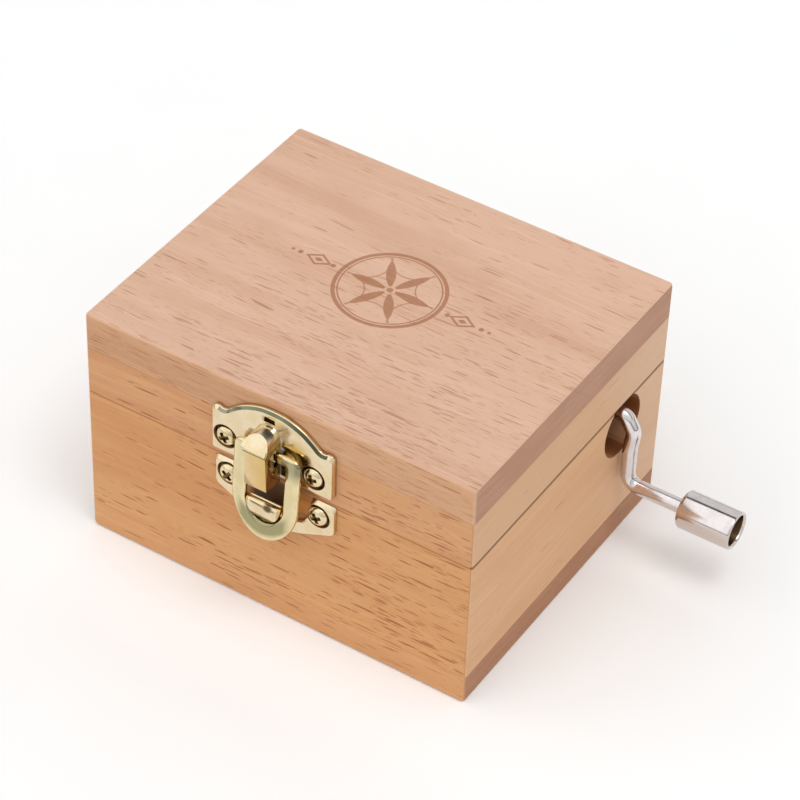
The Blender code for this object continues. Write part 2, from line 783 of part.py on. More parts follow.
CRANK_IN_X = CYL_X - 9.4
route = filleted([(CRANK_IN_X, CRANK_Z), (32.45, CRANK_Z), (ARM_X + 0.35, 21.35),
                  (ARM_X, 18.2), (ARM_X, PIN_Z), (PIN_END_X, PIN_Z)],
                 [1.3, 2.0, 6.0, 2.0])
add("crank_wire", wire(route, WIRE_R, 12, CRANK_Y), CHROME, smooth=50,
    origin=crank_axis, parent=crank_pivot)

pin_axis = (KNOB_X0, CRANK_Y, PIN_Z)
knob_pivot = pivot("knob_pivot", pin_axis)
knob_pivot.parent = crank_pivot
knob_pivot.location -= crank_pivot.location
knob_profile = [(KNOB_EYE_R, KNOB_X0), (2.35, KNOB_X0), (2.72, KNOB_X0 + 0.15),
                (2.9, KNOB_X0 + 0.45), (KNOB_R, KNOB_X0 + 0.9),
                (KNOB_R, KNOB_X1 - 0.35), (2.89, KNOB_X1 - 0.1),
                (2.73, KNOB_X1), (2.5, KNOB_X1 - 0.08),
                (KNOB_BORE_R, KNOB_X1 - 0.35), (KNOB_BORE_R, KNOB_X0 + 2.3),
                (KNOB_EYE_R, KNOB_X0 + 2.3)]
knob = add("crank_knob", mesh_from("crank_knob", lathe(
    knob_profile, 28, shifted(along_x, 0, CRANK_Y, PIN_Z)), pin_axis, 35),
    CHROME)
knob.parent = knob_pivot
add("crank_pin_washer", lathe([(WIRE_R + 0.04, 45.4), (1.85, 45.4), (1.85, 45.85),
                               (WIRE_R + 0.04, 45.85)], 20,
                              shifted(along_x, 0, CRANK_Y, PIN_Z)),
    STEEL_SCREW, smooth=40, origin=crank_axis, parent=crank_pivot)

# ---- worm and gear ----------------------------------------------------------
WORM_MAT = material("worm_brass", (0.70, 0.55, 0.28), 0.35, 1.0)
GEAR_MAT = material("gear_nylon", (0.80, 0.79, 0.74), 0.45)
PITCH = TAU * GEAR_PITCH_R / GEAR_TEETH
ADD, DED = 0.46, 0.60


def tooth_height(frac, half_pitch_w, lo, hi, slope):
    """Trapezoid: frac is the axial distance from the tooth's middle, in mm."""
    d = abs(frac)
    h = (half_pitch_w - d) / slope
    return max(lo, min(hi, h))


def worm_mesh():
    per, cols = 8, 16
    rows = WORM_TURNS * per
    length = WORM_TURNS * PITCH
    slope = math.tan(math.radians(20))
    rings = []
    for i in range(rows + 1):
        x = -length / 2 + length * i / rows
        edge = min(1.0, (length / 2 - abs(x)) / (0.45 * PITCH))
        ring = []
        for j in range(cols):
            th = TAU * j / cols
            # thread middle at x = PITCH * (th + 90 deg) / TAU + PITCH / 2
            s = x - PITCH * ((th + math.pi / 2) / TAU) - PITCH / 2
            s = (s + PITCH / 2) % PITCH - PITCH / 2
            h = tooth_height(s, PITCH / 4 - 0.12, -DED + 0.05, ADD, slope)
            low = -DED + 0.05
            r = WORM_PITCH_R + low + (h - low) * edge
            ring.append((CYL_X + x, CRANK_Y + r * math.cos(th),
                         CRANK_Z + r * math.sin(th)))
        rings.append(ring)
    first = [(CYL_X - length / 2 - 1.2, y, z) for _, y, z in rings[0]]
    last = [(CYL_X + length / 2 + 1.2, y, z) for _, y, z in rings[-1]]
    return stack([first] + rings + [last])


worm = add("crank_worm", worm_mesh(), WORM_MAT, smooth=50, origin=crank_axis,
           parent=crank_pivot)
cut(worm, drill_x(CRANK_Y, CRANK_Z, WIRE_R + 0.05, CYL_X - 8, CYL_X + 8, 20))

cyl_axis = (CYL_X, 0.0, CYL_Z)
cyl_pivot = pivot("cylinder_pivot", cyl_axis)


def gear_mesh():
    y0, y1 = CRANK_Y - 1.3, CRANK_Y + 1.3
    slope = math.tan(math.radians(20))
    rings = []
    lead_twist = PITCH / (TAU * WORM_PITCH_R)      # tooth slant, mm per mm
    for y in (y0, y1):
        ring = []
        shift = -(y - CRANK_Y) * lead_twist / GEAR_PITCH_R
        for k in range(GEAR_TEETH):
            mid = math.pi / 2 - TAU * k / GEAR_TEETH + shift
            w = PITCH / 4 - 0.12
            for off, rad in ((w + slope * DED, -DED), (w, 0.0),
                             (w - slope * ADD, ADD - 0.03),
                             (-w + slope * ADD, ADD - 0.03), (-w, 0.0),
                             (-w - slope * DED, -DED)):
                a = mid + off / GEAR_PITCH_R
                r = GEAR_PITCH_R + rad
                ring.append((CYL_X + r * math.cos(a), y, CYL_Z + r * math.sin(a)))
        rings.append(ring)
    return stack(rings)


gear = add("cylinder_gear", gear_mesh(), GEAR_MAT, smooth=35, origin=cyl_axis,
           parent=cyl_pivot)
cut(gear, drill_y(CYL_X, CYL_Z, ARBOR_R + 0.05, CRANK_Y - 3, CRANK_Y + 3, 20))

# ---- pinned cylinder ---------------------------------------------------------
CYL_MAT = material("cylinder_brass", (0.78, 0.64, 0.34), 0.28, 1.0)
ARBOR_MAT = material("arbor_steel", (0.62, 0.62, 0.63), 0.3, 1.0)
tube = add("pinned_cylinder",
           lathe([(CYL_R, CYL_Y0), (CYL_R, CYL_Y1), (CYL_R - 0.55, CYL_Y1),
                  (CYL_R - 0.55, CYL_Y0)], 36,
                 shifted(along_y, CYL_X, 0, CYL_Z)),
           CYL_MAT, smooth=30, origin=cyl_axis, parent=cyl_pivot)


def comb_y(i):
    return -2.2 + (i - (COMB_TEETH - 1) / 2) * COMB_PITCH


def small_pin(ang, y):
    c, s = math.cos(ang), math.sin(ang)
    rings = []
    for r, w in ((CYL_R - 0.25, 0.21), (CYL_R + PIN_H, 0.14)):
        ring = []
        for j in range(4):
            b = TAU * (j + 0.5) / 4
            t, q = w * math.cos(b) * 1.2, w * math.sin(b) * 1.2
            ring.append((CYL_X + r * c - t * s, y + q, CYL_Z + r * s + t * c))
        rings.append(ring)
    return stack(rings)


pins = []
for i in range(COMB_TEETH):
    for j in range(3):
        # a made-up regular pattern, no tune
        step = (i * 5 + j * 16 + (i * j) % 7) % 48
        pins.append(small_pin(TAU * (step + 0.5) / 48, comb_y(i)))
join(tube, *pins)

for name, a, b in (("cylinder_plug_front", CYL_Y0 + 0.2, CYL_Y0 + 2.2),
                   ("cylinder_plug_back", CYL_Y1 - 2.2, CYL_Y1 - 0.2)):
    add(name, lathe([(CYL_R - 0.62, a), (CYL_R - 0.62, b), (ARBOR_R + 0.06, b),
                     (ARBOR_R + 0.06, a)], 24,
                    shifted(along_y, CYL_X, 0, CYL_Z)),
        GEAR_MAT, smooth=30, origin=cyl_axis, parent=cyl_pivot)
add("cylinder_arbor",
    lathe([(0.0, -18.9), (0.7, -18.9), (ARBOR_R, -18.6), (ARBOR_R, 19.1),
           (0.7, 19.4), (0.0, 19.4)], 20,
          shifted(along_y, CYL_X, 0, CYL_Z)),
    ARBOR_MAT, smooth=40, origin=cyl_axis, parent=cyl_pivot)

# ---- movement frame, comb, crank bracket -------------------------------------
FRAME_MAT = material("cast_frame", (0.60, 0.50, 0.30), 0.45, 1.0)
COMB_MAT = material("comb_steel", (0.60, 0.61, 0.62), 0.25, 1.0)
BRACKET_MAT = material("bracket_steel", (0.66, 0.66, 0.66), 0.35, 1.0)
FZ0, FZ1 = BOTTOM_T + 0.05, BOTTOM_T + 2.05
PED_TOP = CYL_Z - 0.45


def post(y0, y1):
    w = 3.6
    outline = ([(CYL_X - w - 1.2, FZ0 + 0.4), (CYL_X + w + 1.2, FZ0 + 0.4),
                (CYL_X + w, FZ1 + 1.5)] + arc(CYL_X, CYL_Z, w, 0, 180, 10)
               + [(CYL_X - w, FZ1 + 1.5)])
    return prism(outline, along_y, y0, y1)


c = 2.0
plate_outline = [(-25 + c, -20), (17 - c, -20), (17, -20 + c), (17, 20.3 - c),
                 (17 - c, 20.3), (-25 + c, 20.3), (-25, 20.3 - c), (-25, -20 + c)]
frame = add("movement_frame", prism(plate_outline, along_z, FZ0, FZ1), FRAME_MAT,
            smooth=35)
MOUNT_SPOTS = [(-21.0, -15.6), (-21.0, 11.2), (13.8, -5.0)]
COMB_SPOTS = [(-20.8, -9.5), (-20.8, 5.1)]
pedestal = prism([(-24.4, FZ0 + 0.5), (-17.4, FZ0 + 0.5), (-17.9, PED_TOP),
                  (-23.9, PED_TOP)], along_y, -17.8, 13.4)
join(frame, post(-19.2, -16.9), post(16.9, 19.4))
join(frame, pedestal,
     prism(circle(13.8, -5.0, 2.4, 14), along_z, FZ0 + 0.5, FZ1 + 2.6))
cut(frame,
    prism(circle(CYL_X, CYL_Z, ARBOR_R + 0.08, 20), along_y, -21, -15),
    prism(circle(CYL_X, CYL_Z, ARBOR_R + 0.08, 20), along_y, 15, 21),
    *[drill_z(x, y, 1.25, FZ0 - 1, FZ1 + 1.6, 12) for x, y in MOUNT_SPOTS],
    *[drill_z(x, y, 1.25, PED_TOP - 5.4, PED_TOP + 1, 12) for x, y in COMB_SPOTS])


def comb_outline():
    """Comb seen from above: heel, then the teeth towards the cylinder."""
    tip = CYL_X - CYL_R - PIN_H - 0.25
    heel = -24.0
    root0, root1 = -15.6, -12.0
    pts = [(heel, comb_y(0) - 1.6)]
    for i in range(COMB_TEETH):
        f = i / (COMB_TEETH - 1)
        root = root0 + (root1 - root0) * f
        y = comb_y(i)
        w = (COMB_PITCH - 0.28) / 2
        if i == 0:
            pts += [(root - 1.0, y - 1.6), (root, y - w)]
        else:
            pts += [(root, y - w)]
        pts += [(tip, y - w * 0.72), (tip, y + w * 0.72), (root, y + w)]
    pts += [(root1 - 1.0, comb_y(COMB_TEETH - 1) + 1.6),
            (heel, comb_y(COMB_TEETH - 1) + 1.6)]
    return pts


COMB_Z0 = PED_TOP + 0.05
comb = add("comb", prism(comb_outline(), along_z, COMB_Z0, COMB_Z0 + 0.9),
           COMB_MAT, smooth=30)
cut(comb, *[drill_z(x, y, 1.35, COMB_Z0 - 1, COMB_Z0 + 2, 16)
            for x, y in COMB_SPOTS])
for (x, y), side in zip(COMB_SPOTS, ("front", "back")):
    place_screw("comb_screw_" + side, movement_screw,
                (x, y, COMB_Z0 + 0.95), (0, 0, 1), 15 if side == "front" else 60)

# U-shaped bearing bracket for the crank, its feet screwed to the frame
BT = 0.9
ex = 7.8
bz = FZ1 + 0.05
btop = CRANK_Z + 2.3
u_profile = [(CYL_X - 13.0, bz), (CYL_X + 13.0, bz), (CYL_X + 13.0, bz + BT),
             (CYL_X + ex + BT, bz + BT), (CYL_X + ex + BT, btop),
             (CYL_X + ex, btop), (CYL_X + ex, bz + BT), (CYL_X - ex, bz + BT),
             (CYL_X - ex, btop), (CYL_X - ex - BT, btop),
             (CYL_X - ex - BT, bz + BT), (CYL_X - 13.0, bz + BT)]
bracket = add("crank_bracket", prism(u_profile, along_y, CRANK_Y - 2.6,
                                     CRANK_Y + 2.2), BRACKET_MAT, smooth=30)
BRACKET_SPOTS = [(CYL_X - 10.9, CRANK_Y - 0.2), (CYL_X + 10.9, CRANK_Y - 0.2)]
cut(bracket,
    drill_x(CRANK_Y, CRANK_Z, WIRE_R + 0.08, CYL_X - 12, CYL_X + 12, 24),
    *[drill_z(x, y, 0.95, bz - 1, bz + 2, 16) for x, y in BRACKET_SPOTS])
bracket_screw = screw_mesh(
    "bracket_screw", [(0.0, 1.0), (0.9, 0.9), (1.45, 0.6), (1.55, 0.0)],
    0.8, 2.4, STEEL_SCREW, (1.0, 0.22, 0.6), 12)
cut(frame, *[drill_z(x, y, 0.9, FZ0 - 1, FZ1 + 1, 12) for x, y in BRACKET_SPOTS])
for (x, y), side in zip(BRACKET_SPOTS, ("left", "right")):
    place_screw("bracket_screw_" + side, bracket_screw, (x, y, bz + BT + 0.05),
                (0, 0, 1), 20 if side == "left" else 65)

# screws up through the base panel into the frame
mount_screw = screw_mesh(
    "mounting_screw", [(0.0, 1.35), (2.2, 1.35), (2.3, 1.2)],
    1.1, 6.4, STEEL_SCREW, (1.35, 0.3, 0.9), 16)
for i, (x, y) in enumerate(MOUNT_SPOTS):
    place_screw("mounting_screw_%d" % (i + 1), mount_screw, (x, y, 1.75),
                (0, 0, -1), 12 + 40 * i)
cut(boards["base_bottom_panel"],
    *[lathe([(0.0, -0.5), (2.85, -0.5), (2.65, 0.3), (1.4, 1.95),
             (1.4, BOTTOM_T + 0.5), (0.0, BOTTOM_T + 0.5)], 14,
            shifted(along_z, x, y, 0)) for x, y in MOUNT_SPOTS])
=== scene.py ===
"""Looks of the small beech box with a hand-cranked comb movement."""
import math

import bmesh
import bpy
import numpy as np
from mathutils import Matrix, Vector

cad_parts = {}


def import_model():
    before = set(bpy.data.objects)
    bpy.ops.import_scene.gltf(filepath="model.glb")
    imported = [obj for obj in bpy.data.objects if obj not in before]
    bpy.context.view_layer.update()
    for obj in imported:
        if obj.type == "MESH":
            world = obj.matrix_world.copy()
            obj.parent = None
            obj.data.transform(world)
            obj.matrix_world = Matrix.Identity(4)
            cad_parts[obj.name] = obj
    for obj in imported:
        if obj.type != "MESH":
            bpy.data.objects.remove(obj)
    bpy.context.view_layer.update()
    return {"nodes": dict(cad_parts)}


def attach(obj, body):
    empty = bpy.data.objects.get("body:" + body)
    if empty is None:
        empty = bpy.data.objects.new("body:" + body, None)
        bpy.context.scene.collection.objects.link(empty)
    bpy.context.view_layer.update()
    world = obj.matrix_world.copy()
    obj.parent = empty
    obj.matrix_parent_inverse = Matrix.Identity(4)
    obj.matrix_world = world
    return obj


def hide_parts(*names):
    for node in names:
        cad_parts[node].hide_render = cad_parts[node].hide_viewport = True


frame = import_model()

NODES = frame["nodes"]
MM = 0.001


# ---------------------------------------------------------------------------
# colour and node helpers
# ---------------------------------------------------------------------------
def lin(r, g, b):
    """Linear colour of three display values from 0 to 255."""
    out = []
    for c in (r, g, b):
        c = c / 255.0
        out.append(c / 12.92 if c <= 0.04045 else ((c + 0.055) / 1.055) ** 2.4)
    return (*out, 1.0)


class Sock:
    """A node socket, or a plain number, that takes part in arithmetic."""

    def __init__(self, g, s):
        self.g, self.s = g, s

    def _op(self, op, *others, clamp=False):
        return self.g.math(op, self, *others, clamp=clamp)

    def __add__(self, o): return self._op("ADD", o)
    __radd__ = __add__
    def __sub__(self, o): return self._op("SUBTRACT", o)
    def __rsub__(self, o): return self.g.math("SUBTRACT", o, self)
    def __mul__(self, o): return self._op("MULTIPLY", o)
    __rmul__ = __mul__
    def __truediv__(self, o): return self._op("DIVIDE", o)
    def __neg__(self): return self._op("MULTIPLY", -1.0)
    def abs(self): return self._op("ABSOLUTE")
    def min(self, o): return self._op("MINIMUM", o)
    def max(self, o): return self._op("MAXIMUM", o)
    def sqrt(self): return self._op("SQRT")
    def pow(self, o): return self._op("POWER", o)
    def lt(self, o): return self._op("LESS_THAN", o)
    def gt(self, o): return self._op("GREATER_THAN", o)
    def clamp(self): return self._op("ADD", 0.0, clamp=True)

    def smooth(self, a, b, lo=0.0, hi=1.0):
        """Smooth step from lo at a to hi at b."""
        n = self.g.node("ShaderNodeMapRange")
        n.interpolation_type = "SMOOTHSTEP"
        self.g.put(n.inputs["Value"], self)
        if b < a:
            a, b, lo, hi = b, a, hi, lo
        for name, v in (("From Min", a), ("From Max", b), ("To Min", lo), ("To Max", hi)):
            n.inputs[name].default_value = v
        return Sock(self.g, n.outputs["Result"])


class Graph:
    """A material and short names for the nodes used in it."""

    def __init__(self, name):
        self.mat = bpy.data.materials.new(name)
        self.mat.use_nodes = True
        self.tree = self.mat.node_tree
        self.tree.nodes.clear()
        self.out = self.node("ShaderNodeOutputMaterial")
        self.bsdf = self.node("ShaderNodeBsdfPrincipled")
        self.tree.links.new(self.bsdf.outputs[0], self.out.inputs["Surface"])
        self.coord = self.node("ShaderNodeTexCoord")

    def node(self, kind):
        return self.tree.nodes.new(kind)

    def put(self, inp, value):
        if isinstance(value, Sock):
            self.tree.links.new(value.s, inp)
        elif isinstance(value, bpy.types.NodeSocket):
            self.tree.links.new(value, inp)
        else:
            inp.default_value = value

    def math(self, op, a, *rest, clamp=False):
        n = self.node("ShaderNodeMath")
        n.operation = op
        n.use_clamp = clamp
        for i, v in enumerate((a, *rest)):
            self.put(n.inputs[i], v)
        return Sock(self, n.outputs[0])

    def vmath(self, op, a, b=None):
        n = self.node("ShaderNodeVectorMath")
        n.operation = op
        self.put(n.inputs[0], a)
        if b is not None:
            self.put(n.inputs[1], b)
        return n

    def place(self):
        """Rest coordinates in millimetres: (x, y, z)."""
        n = self.vmath("MULTIPLY", self.coord.outputs["Object"], (1000.0, 1000.0, 1000.0))
        return self.split(n.outputs[0])

    def facing(self):
        """The surface's own normal at rest."""
        return self.split(self.coord.outputs["Normal"])

    def split(self, v):
        n = self.node("ShaderNodeSeparateXYZ")
        self.put(n.inputs[0], v)
        return [Sock(self, o) for o in n.outputs]

    def vec(self, x, y=0.0, z=0.0):
        n = self.node("ShaderNodeCombineXYZ")
        for i, v in enumerate((x, y, z)):
            self.put(n.inputs[i], v)
        return Sock(self, n.outputs[0])

    def noise(self, v, scale=1.0, detail=2.0, rough=0.5, distortion=0.0, dims="3D"):
        n = self.node("ShaderNodeTexNoise")
        n.noise_dimensions = dims
        self.put(n.inputs["Vector"], v)
        n.inputs["Scale"].default_value = scale
        n.inputs["Detail"].default_value = detail
        n.inputs["Roughness"].default_value = rough
        n.inputs["Distortion"].default_value = distortion
        return Sock(self, n.outputs["Fac"])

    def voronoi(self, v, scale=1.0, feature="F1", random=1.0, dims="2D"):
        n = self.node("ShaderNodeTexVoronoi")
        n.voronoi_dimensions = dims
        n.feature = feature
        self.put(n.inputs["Vector"], v)
        n.inputs["Scale"].default_value = scale
        n.inputs["Randomness"].default_value = random
        return n

    def mix(self, a, b, fac, blend="MIX"):
        n = self.node("ShaderNodeMix")
        n.data_type = "RGBA"
        n.blend_type = blend
        n.clamp_factor = True
        self.put(n.inputs[0], fac)
        self.put(n.inputs[6], a)
        self.put(n.inputs[7], b)
        return Sock(self, n.outputs[2])

    def ramp(self, fac, stops, interp="LINEAR"):
        n = self.node("ShaderNodeValToRGB")
        n.color_ramp.interpolation = interp
        e = n.color_ramp.elements
        while len(e) > 1:
            e.remove(e[-1])
        e[0].position, e[0].color = stops[0]
        for p, c in stops[1:]:
            x = e.new(p)
            x.color = c
        self.put(n.inputs[0], fac)
        return Sock(self, n.outputs[0])

    def bump(self, height, distance, strength=1.0, normal=None):
        """Raises the surface by height (0 to 1) times distance in millimetres."""
        n = self.node("ShaderNodeBump")
        n.inputs["Strength"].default_value = strength
        n.inputs["Distance"].default_value = distance * MM
        self.put(n.inputs["Height"], height)
        if normal is not None:
            self.put(n.inputs["Normal"], normal)
        return Sock(self, n.outputs[0])

    def bevel(self, radius, samples=4):
        n = self.node("ShaderNodeBevel")
        n.samples = samples
        n.inputs["Radius"].default_value = radius * MM
        return Sock(self, n.outputs[0])

    def set(self, **kw):
        for k, v in kw.items():
            self.put(self.bsdf.inputs[k.replace("_", " ")], v)


# ---------------------------------------------------------------------------
# wood
# ---------------------------------------------------------------------------
def flecks(g, u, v, cell_u, cell_v, half_u, half_v, keep, seed, tilt=0.0):
    """Short lens-shaped dashes along u, one in each cell of a jittered grid.

    keep is the share of the cells that hold a dash: a number, or a socket.
    Returns the darkness from 0 to 1."""
    p = g.vec(u / cell_u + seed, v / cell_v + seed * 1.7 + (u * tilt))
    n = g.voronoi(p, 1.0, random=0.9)
    at = g.split(n.outputs["Position"])
    rnd = g.split(n.outputs["Color"])
    pu, pv, _ = g.split(p.s)
    du = (pu - at[0]) * cell_u
    dv = (pv - at[1]) * cell_v
    length = rnd[0] * (half_u * 1.1) + half_u * 0.45
    width = rnd[1] * (half_v * 0.9) + half_v * 0.55
    # a tapered dash: narrower towards its ends
    q = (du / length).abs()
    w = (1.0 - q.pow(2.0)).max(0.001)
    e = (dv.abs() / (width * w)).smooth(1.25, 0.55)
    inside = q.lt(1.0)
    on = rnd[2].lt(keep)
    return e * inside * on * (rnd[0] * 0.5 + 0.5)


ROSETTE = (0.0, 2.0)          # centre of the ornament on the lid, mm
ROSETTE_R = 8.4


def rosette(g, x, y):
    """Compass-drawn six-petal rosette in a ring, with a lozenge and dots to each side."""
    cx, cy = ROSETTE
    x, y = x - cx, y - cy
    r = (x * x + y * y).sqrt()
    ang = g.math("ARCTAN2", y, x)
    step = math.pi / 3
    # fold the plane onto one petal
    fold = g.math("PINGPONG", ang + math.pi, step / 2)
    fx = r * g.math("COSINE", fold)
    fy = r * g.math("SINE", fold)
    R = ROSETTE_R - 1.25
    # petal: the overlap of two circles of radius R through the centre
    px, py = fx - R * 0.5, fy + R * 0.8660254
    petal = (R - (px * px + py * py).sqrt())
    mark = petal.smooth(0.16, 0.30)
    # the small arcs between the tips
    fold2 = g.math("PINGPONG", ang + math.pi + step / 2, step / 2)
    gx = r * g.math("COSINE", fold2)
    gy = r * g.math("SINE", fold2)
    ax, ay = gx - R, gy
    arc = ((ax * ax + ay * ay).sqrt() - R * 0.5).abs().smooth(0.16, 0.05)
    arc = arc * r.lt(R)
    ring = (r - (ROSETTE_R - 0.35)).abs().smooth(0.36, 0.24)
    ring2 = (r - (R + 0.28)).abs().smooth(0.17, 0.06)
    hub = r.smooth(0.95, 0.8)
    eye = r.smooth(0.55, 0.42)
    out = mark.max(ring).max(ring2)
    # side ornaments, mirrored
    sx = x.abs() - (ROSETTE_R + 3.6)
    loz = (sx.abs() * 0.62 + y.abs()) - 1.15
    lozenge = loz.abs().smooth(0.26, 0.14)
    inner = loz.smooth(-0.62, -0.78)
    dots = None
    for off, rad in ((3.1, 0.36), (-2.45, 0.36), (4.35, 0.24)):
        ox = sx - off
        d = ((ox * ox + y * y).sqrt() - rad).smooth(0.10, -0.04)
        dots = d if dots is None else dots.max(d)
    return out.max(arc * 0.85), lozenge.max(inner).max(dots), hub, eye


def beech(name, along="x", base=(218, 178, 152), warm=(206, 158, 124), dark=(172, 122, 88),
          shift=0.0, fleck=0.5, fine=0.5, contrast=1.0, side=None, end=None, ornament=False,
          rough=0.52, front=None, seam=0.0, hole=False, dash=(0.80, 0.42), thin=1.0, grime_and_shade=False):
    """Sanded beech.

    along is the grain's axis, end the two colours of the end grain, front a tint of the
    faces towards -Y, seam the darkness of the parting line and dash the strength of the
    large and the small rays."""
    g = Graph(name)
    x, y, z = g.place()
    nx, ny, nz = g.facing()
    if along == "x":
        u, a, b, nu = x, y, z, nx
    else:
        u, a, b, nu = y, x, z, ny
    v = a + b
    # long slow waver of the grain lines
    waver = g.noise(g.vec(u * 0.022, v * 0.11, shift), 1.0, 2.0, 0.5)
    vw = v + (waver - 0.5) * 3.2
    broad = g.noise(g.vec(u * 0.016 + shift, vw * 0.16, shift * 3.0), 1.0, 3.0, 0.55)
    bands = g.noise(g.vec(u * 0.028 + shift, vw * 0.62, shift), 1.0, 3.0, 0.6)
    fibre = g.noise(g.vec(u * 0.16, vw * 4.2, shift), 1.0, 3.0, 0.62)
    thread = g.noise(g.vec(u * 0.42, vw * 11.0, shift + 5.0), 1.0, 2.0, 0.6)
    mott = g.noise(g.vec(u * 0.12, v * 0.22, shift + 9.0), 1.0, 3.0, 0.55)

    c_base, c_warm, c_dark = lin(*base), lin(*warm), lin(*dark)
    pale = lin(*[min(255, c + 8) for c in base])
    col = g.mix(c_base, c_warm, broad.smooth(0.40, 0.68) * (0.70 * contrast))
    col = g.mix(col, pale, bands.smooth(0.50, 0.74) * (0.60 * contrast))
    col = g.mix(col, c_warm, fibre.smooth(0.50, 0.80) * (0.55 * contrast))
    col = g.mix(col, c_warm, thread.smooth(0.52, 0.82) * (0.35 * contrast))
    col = g.mix(col, c_warm, mott.smooth(0.48, 0.75) * (0.28 * contrast))
    streak = g.noise(g.vec(u * 0.06, vw * 2.6, shift + 13.0), 1.0, 2.0, 0.5)
    col = g.mix(col, lin(*[min(255, c + 15) for c in base]),
                streak.smooth(0.56, 0.74) * (0.45 * contrast))

    if along == "y":
        # paler and pinker towards the back
        col = g.mix(col, lin(222, 190, 166), y.smooth(4.0, 27.0) * 0.45)

    # rays: dark dashes along the grain, in drifts
    cloud = g.noise(g.vec(u * 0.05 + shift, v * 0.16, shift + 2.0), 1.0, 3.0, 0.6)
    dens = cloud.smooth(0.34, 0.66)
    if side is not None:
        dens = (dens * 0.65 * side(g, x, y, z) + dens * 0.15 + side(g, x, y, z) * 0.30).clamp()
    big = flecks(g, u, vw, 3.4, 1.15, 1.25, 0.110 * thin, dens * fleck, shift + 3.1)
    big2 = flecks(g, u, vw, 4.6, 1.55, 1.8, 0.125 * thin, dens * fleck * 0.85, shift + 17.3)
    small = flecks(g, u, vw, 2.1, 0.72, 0.8, 0.065 * thin, (dens * 0.7 + 0.12) * fine, shift + 41.9)
    small2 = flecks(g, u, vw, 1.4, 0.5, 0.5, 0.05 * thin, (dens * 0.6 + 0.10) * fine, shift + 71.9)
    mark = big.max(big2)
    tiny = small.max(small2)
    deep = g.mix(c_warm, c_dark, cloud.smooth(0.35, 0.65) * 0.35 + 0.65)
    col = g.mix(col, deep, mark * dash[0])
    col = g.mix(col, deep, tiny * dash[1])
    height = (mark * -0.8) + (tiny * -0.35) + fibre * 0.16 + thread * 0.10

    rough_s = (fibre * 0.10 + mott * 0.06 + mark * 0.12) + (rough - 0.08)

    if front is not None:
        # partly painted shade: the faces towards -Y are tinted warmer and darker, for the board's warmer
        # edge and for the weaker light falling on them
        f = (-ny).smooth(0.35, 0.80)
        col = g.mix(col, g.mix(col, lin(*front), 1.0, "MULTIPLY"), f)

    if end is not None:
        # end grain on the faces across the fibres: fine pores and faint growth rings
        e = nu.abs().smooth(0.72, 0.90)
        c_end, c_end2 = lin(*end[0]), lin(*end[1])
        ring = g.noise(g.vec(a * 0.10 + shift, b * 1.1 + a * 0.06, shift), 1.0, 3.0, 0.55)
        pore = g.voronoi(g.vec(a * 5.5, b * 5.5), 1.0)
        pores = Sock(g, pore.outputs["Distance"]).smooth(0.30, 0.12)
        raysn = g.noise(g.vec(a * 3.0, b * 0.35, shift + 1.0), 1.0, 2.0, 0.5)
        blot = g.noise(g.vec(a * 0.13, b * 0.25, shift + 6.0), 1.0, 2.0, 0.5)
        ce = g.mix(c_end, c_end2, ring.smooth(0.38, 0.66) * 0.7)
        ce = g.mix(ce, c_end2, blot.smooth(0.40, 0.70) * 0.5)
        ce = g.mix(ce, c_end2, raysn.smooth(0.5, 0.8) * 0.4)
        ce = g.mix(ce, lin(*[c - 30 for c in end[1]]), pores * 0.22)
        col = g.mix(col, ce, e)
        height = height * (1.0 - e) + (pores * -0.25) * e

    if ornament:
        top = nz.smooth(0.6, 0.9)
        out, sidepiece, hub, eye = rosette(g, x, y)
        burn = out.max(sidepiece)
        burn = (burn * (1.0 - hub)).max(eye) * top
        patch = g.noise(g.vec(x * 0.55, y * 0.55, 4.0), 1.0, 4.0, 0.6)
        strength = burn * (patch * 0.30 + 0.74) * (1.0 - fibre.smooth(0.55, 0.85) * 0.16)
        burnt = g.mix(lin(170, 114, 80), lin(150, 97, 64), thread.smooth(0.4, 0.8))
        col = g.mix(col, burnt, (strength * 0.92).clamp())
        height = height - burn * 0.55
        rough_s = rough_s + burn * 0.10

    if seam:
        # painted shadow along the parting line, with slight soiling
        off = (z - 25.85).abs()
        col = g.mix(col, lin(96, 62, 36),
                    off.smooth(0.38, 0.16) * seam * nz.abs().smooth(0.94, 0.80))

    if grime_and_shade:
        # painted shadow on the wood behind the latch, between the tongue, the bill and the loop; beside the
        # loop's right arm a painted warm glow that darkens to shadow towards the top
        lx = (x + 0.7).abs()
        mid = lx.smooth(3.9, 2.2) * z.smooth(20.1, 21.2) * z.smooth(28.0, 24.8)
        far = (x - 5.2).abs().smooth(1.9, 0.6) * z.smooth(20.9, 22.5) * z.smooth(28.5, 26.5)
        col = g.mix(col, lin(54, 33, 18), mid * (-ny).smooth(0.5, 0.9) * 0.88)
        col = g.mix(col, g.mix(lin(232, 142, 40), lin(110, 64, 30), z.smooth(23.0, 26.5)),
                    far * (-ny).smooth(0.5, 0.9) * 0.6)

    if hole:
        # painted shade inside the drilled hole, darker deeper in
        dy, dz = y - 14.6, z - 21.5
        r = (dy * dy + dz * dz).sqrt()
        deepin = r.smooth(5.10, 5.03) * x.smooth(31.98, 31.80)
        inner = x.smooth(31.9, 28.0) * 0.5 + 0.5
        col = g.mix(col, g.mix(lin(166, 98, 48), lin(122, 62, 22), inner), deepin * 0.95)

    # painted highlight: a touch lighter where the corner is rounded
    flat = nx.abs().max(ny.abs()).max(nz.abs())
    edge = flat.smooth(0.985, 0.90)
    col = g.mix(col, pale, edge * 0.30)

    g.set(Base_Color=col, Roughness=rough_s.clamp(), Normal=g.bump(height, 0.05, 0.55))
    g.bsdf.inputs["IOR"].default_value = 1.45
    g.bsdf.inputs["Specular IOR Level"].default_value = 0.35
    return g.mat


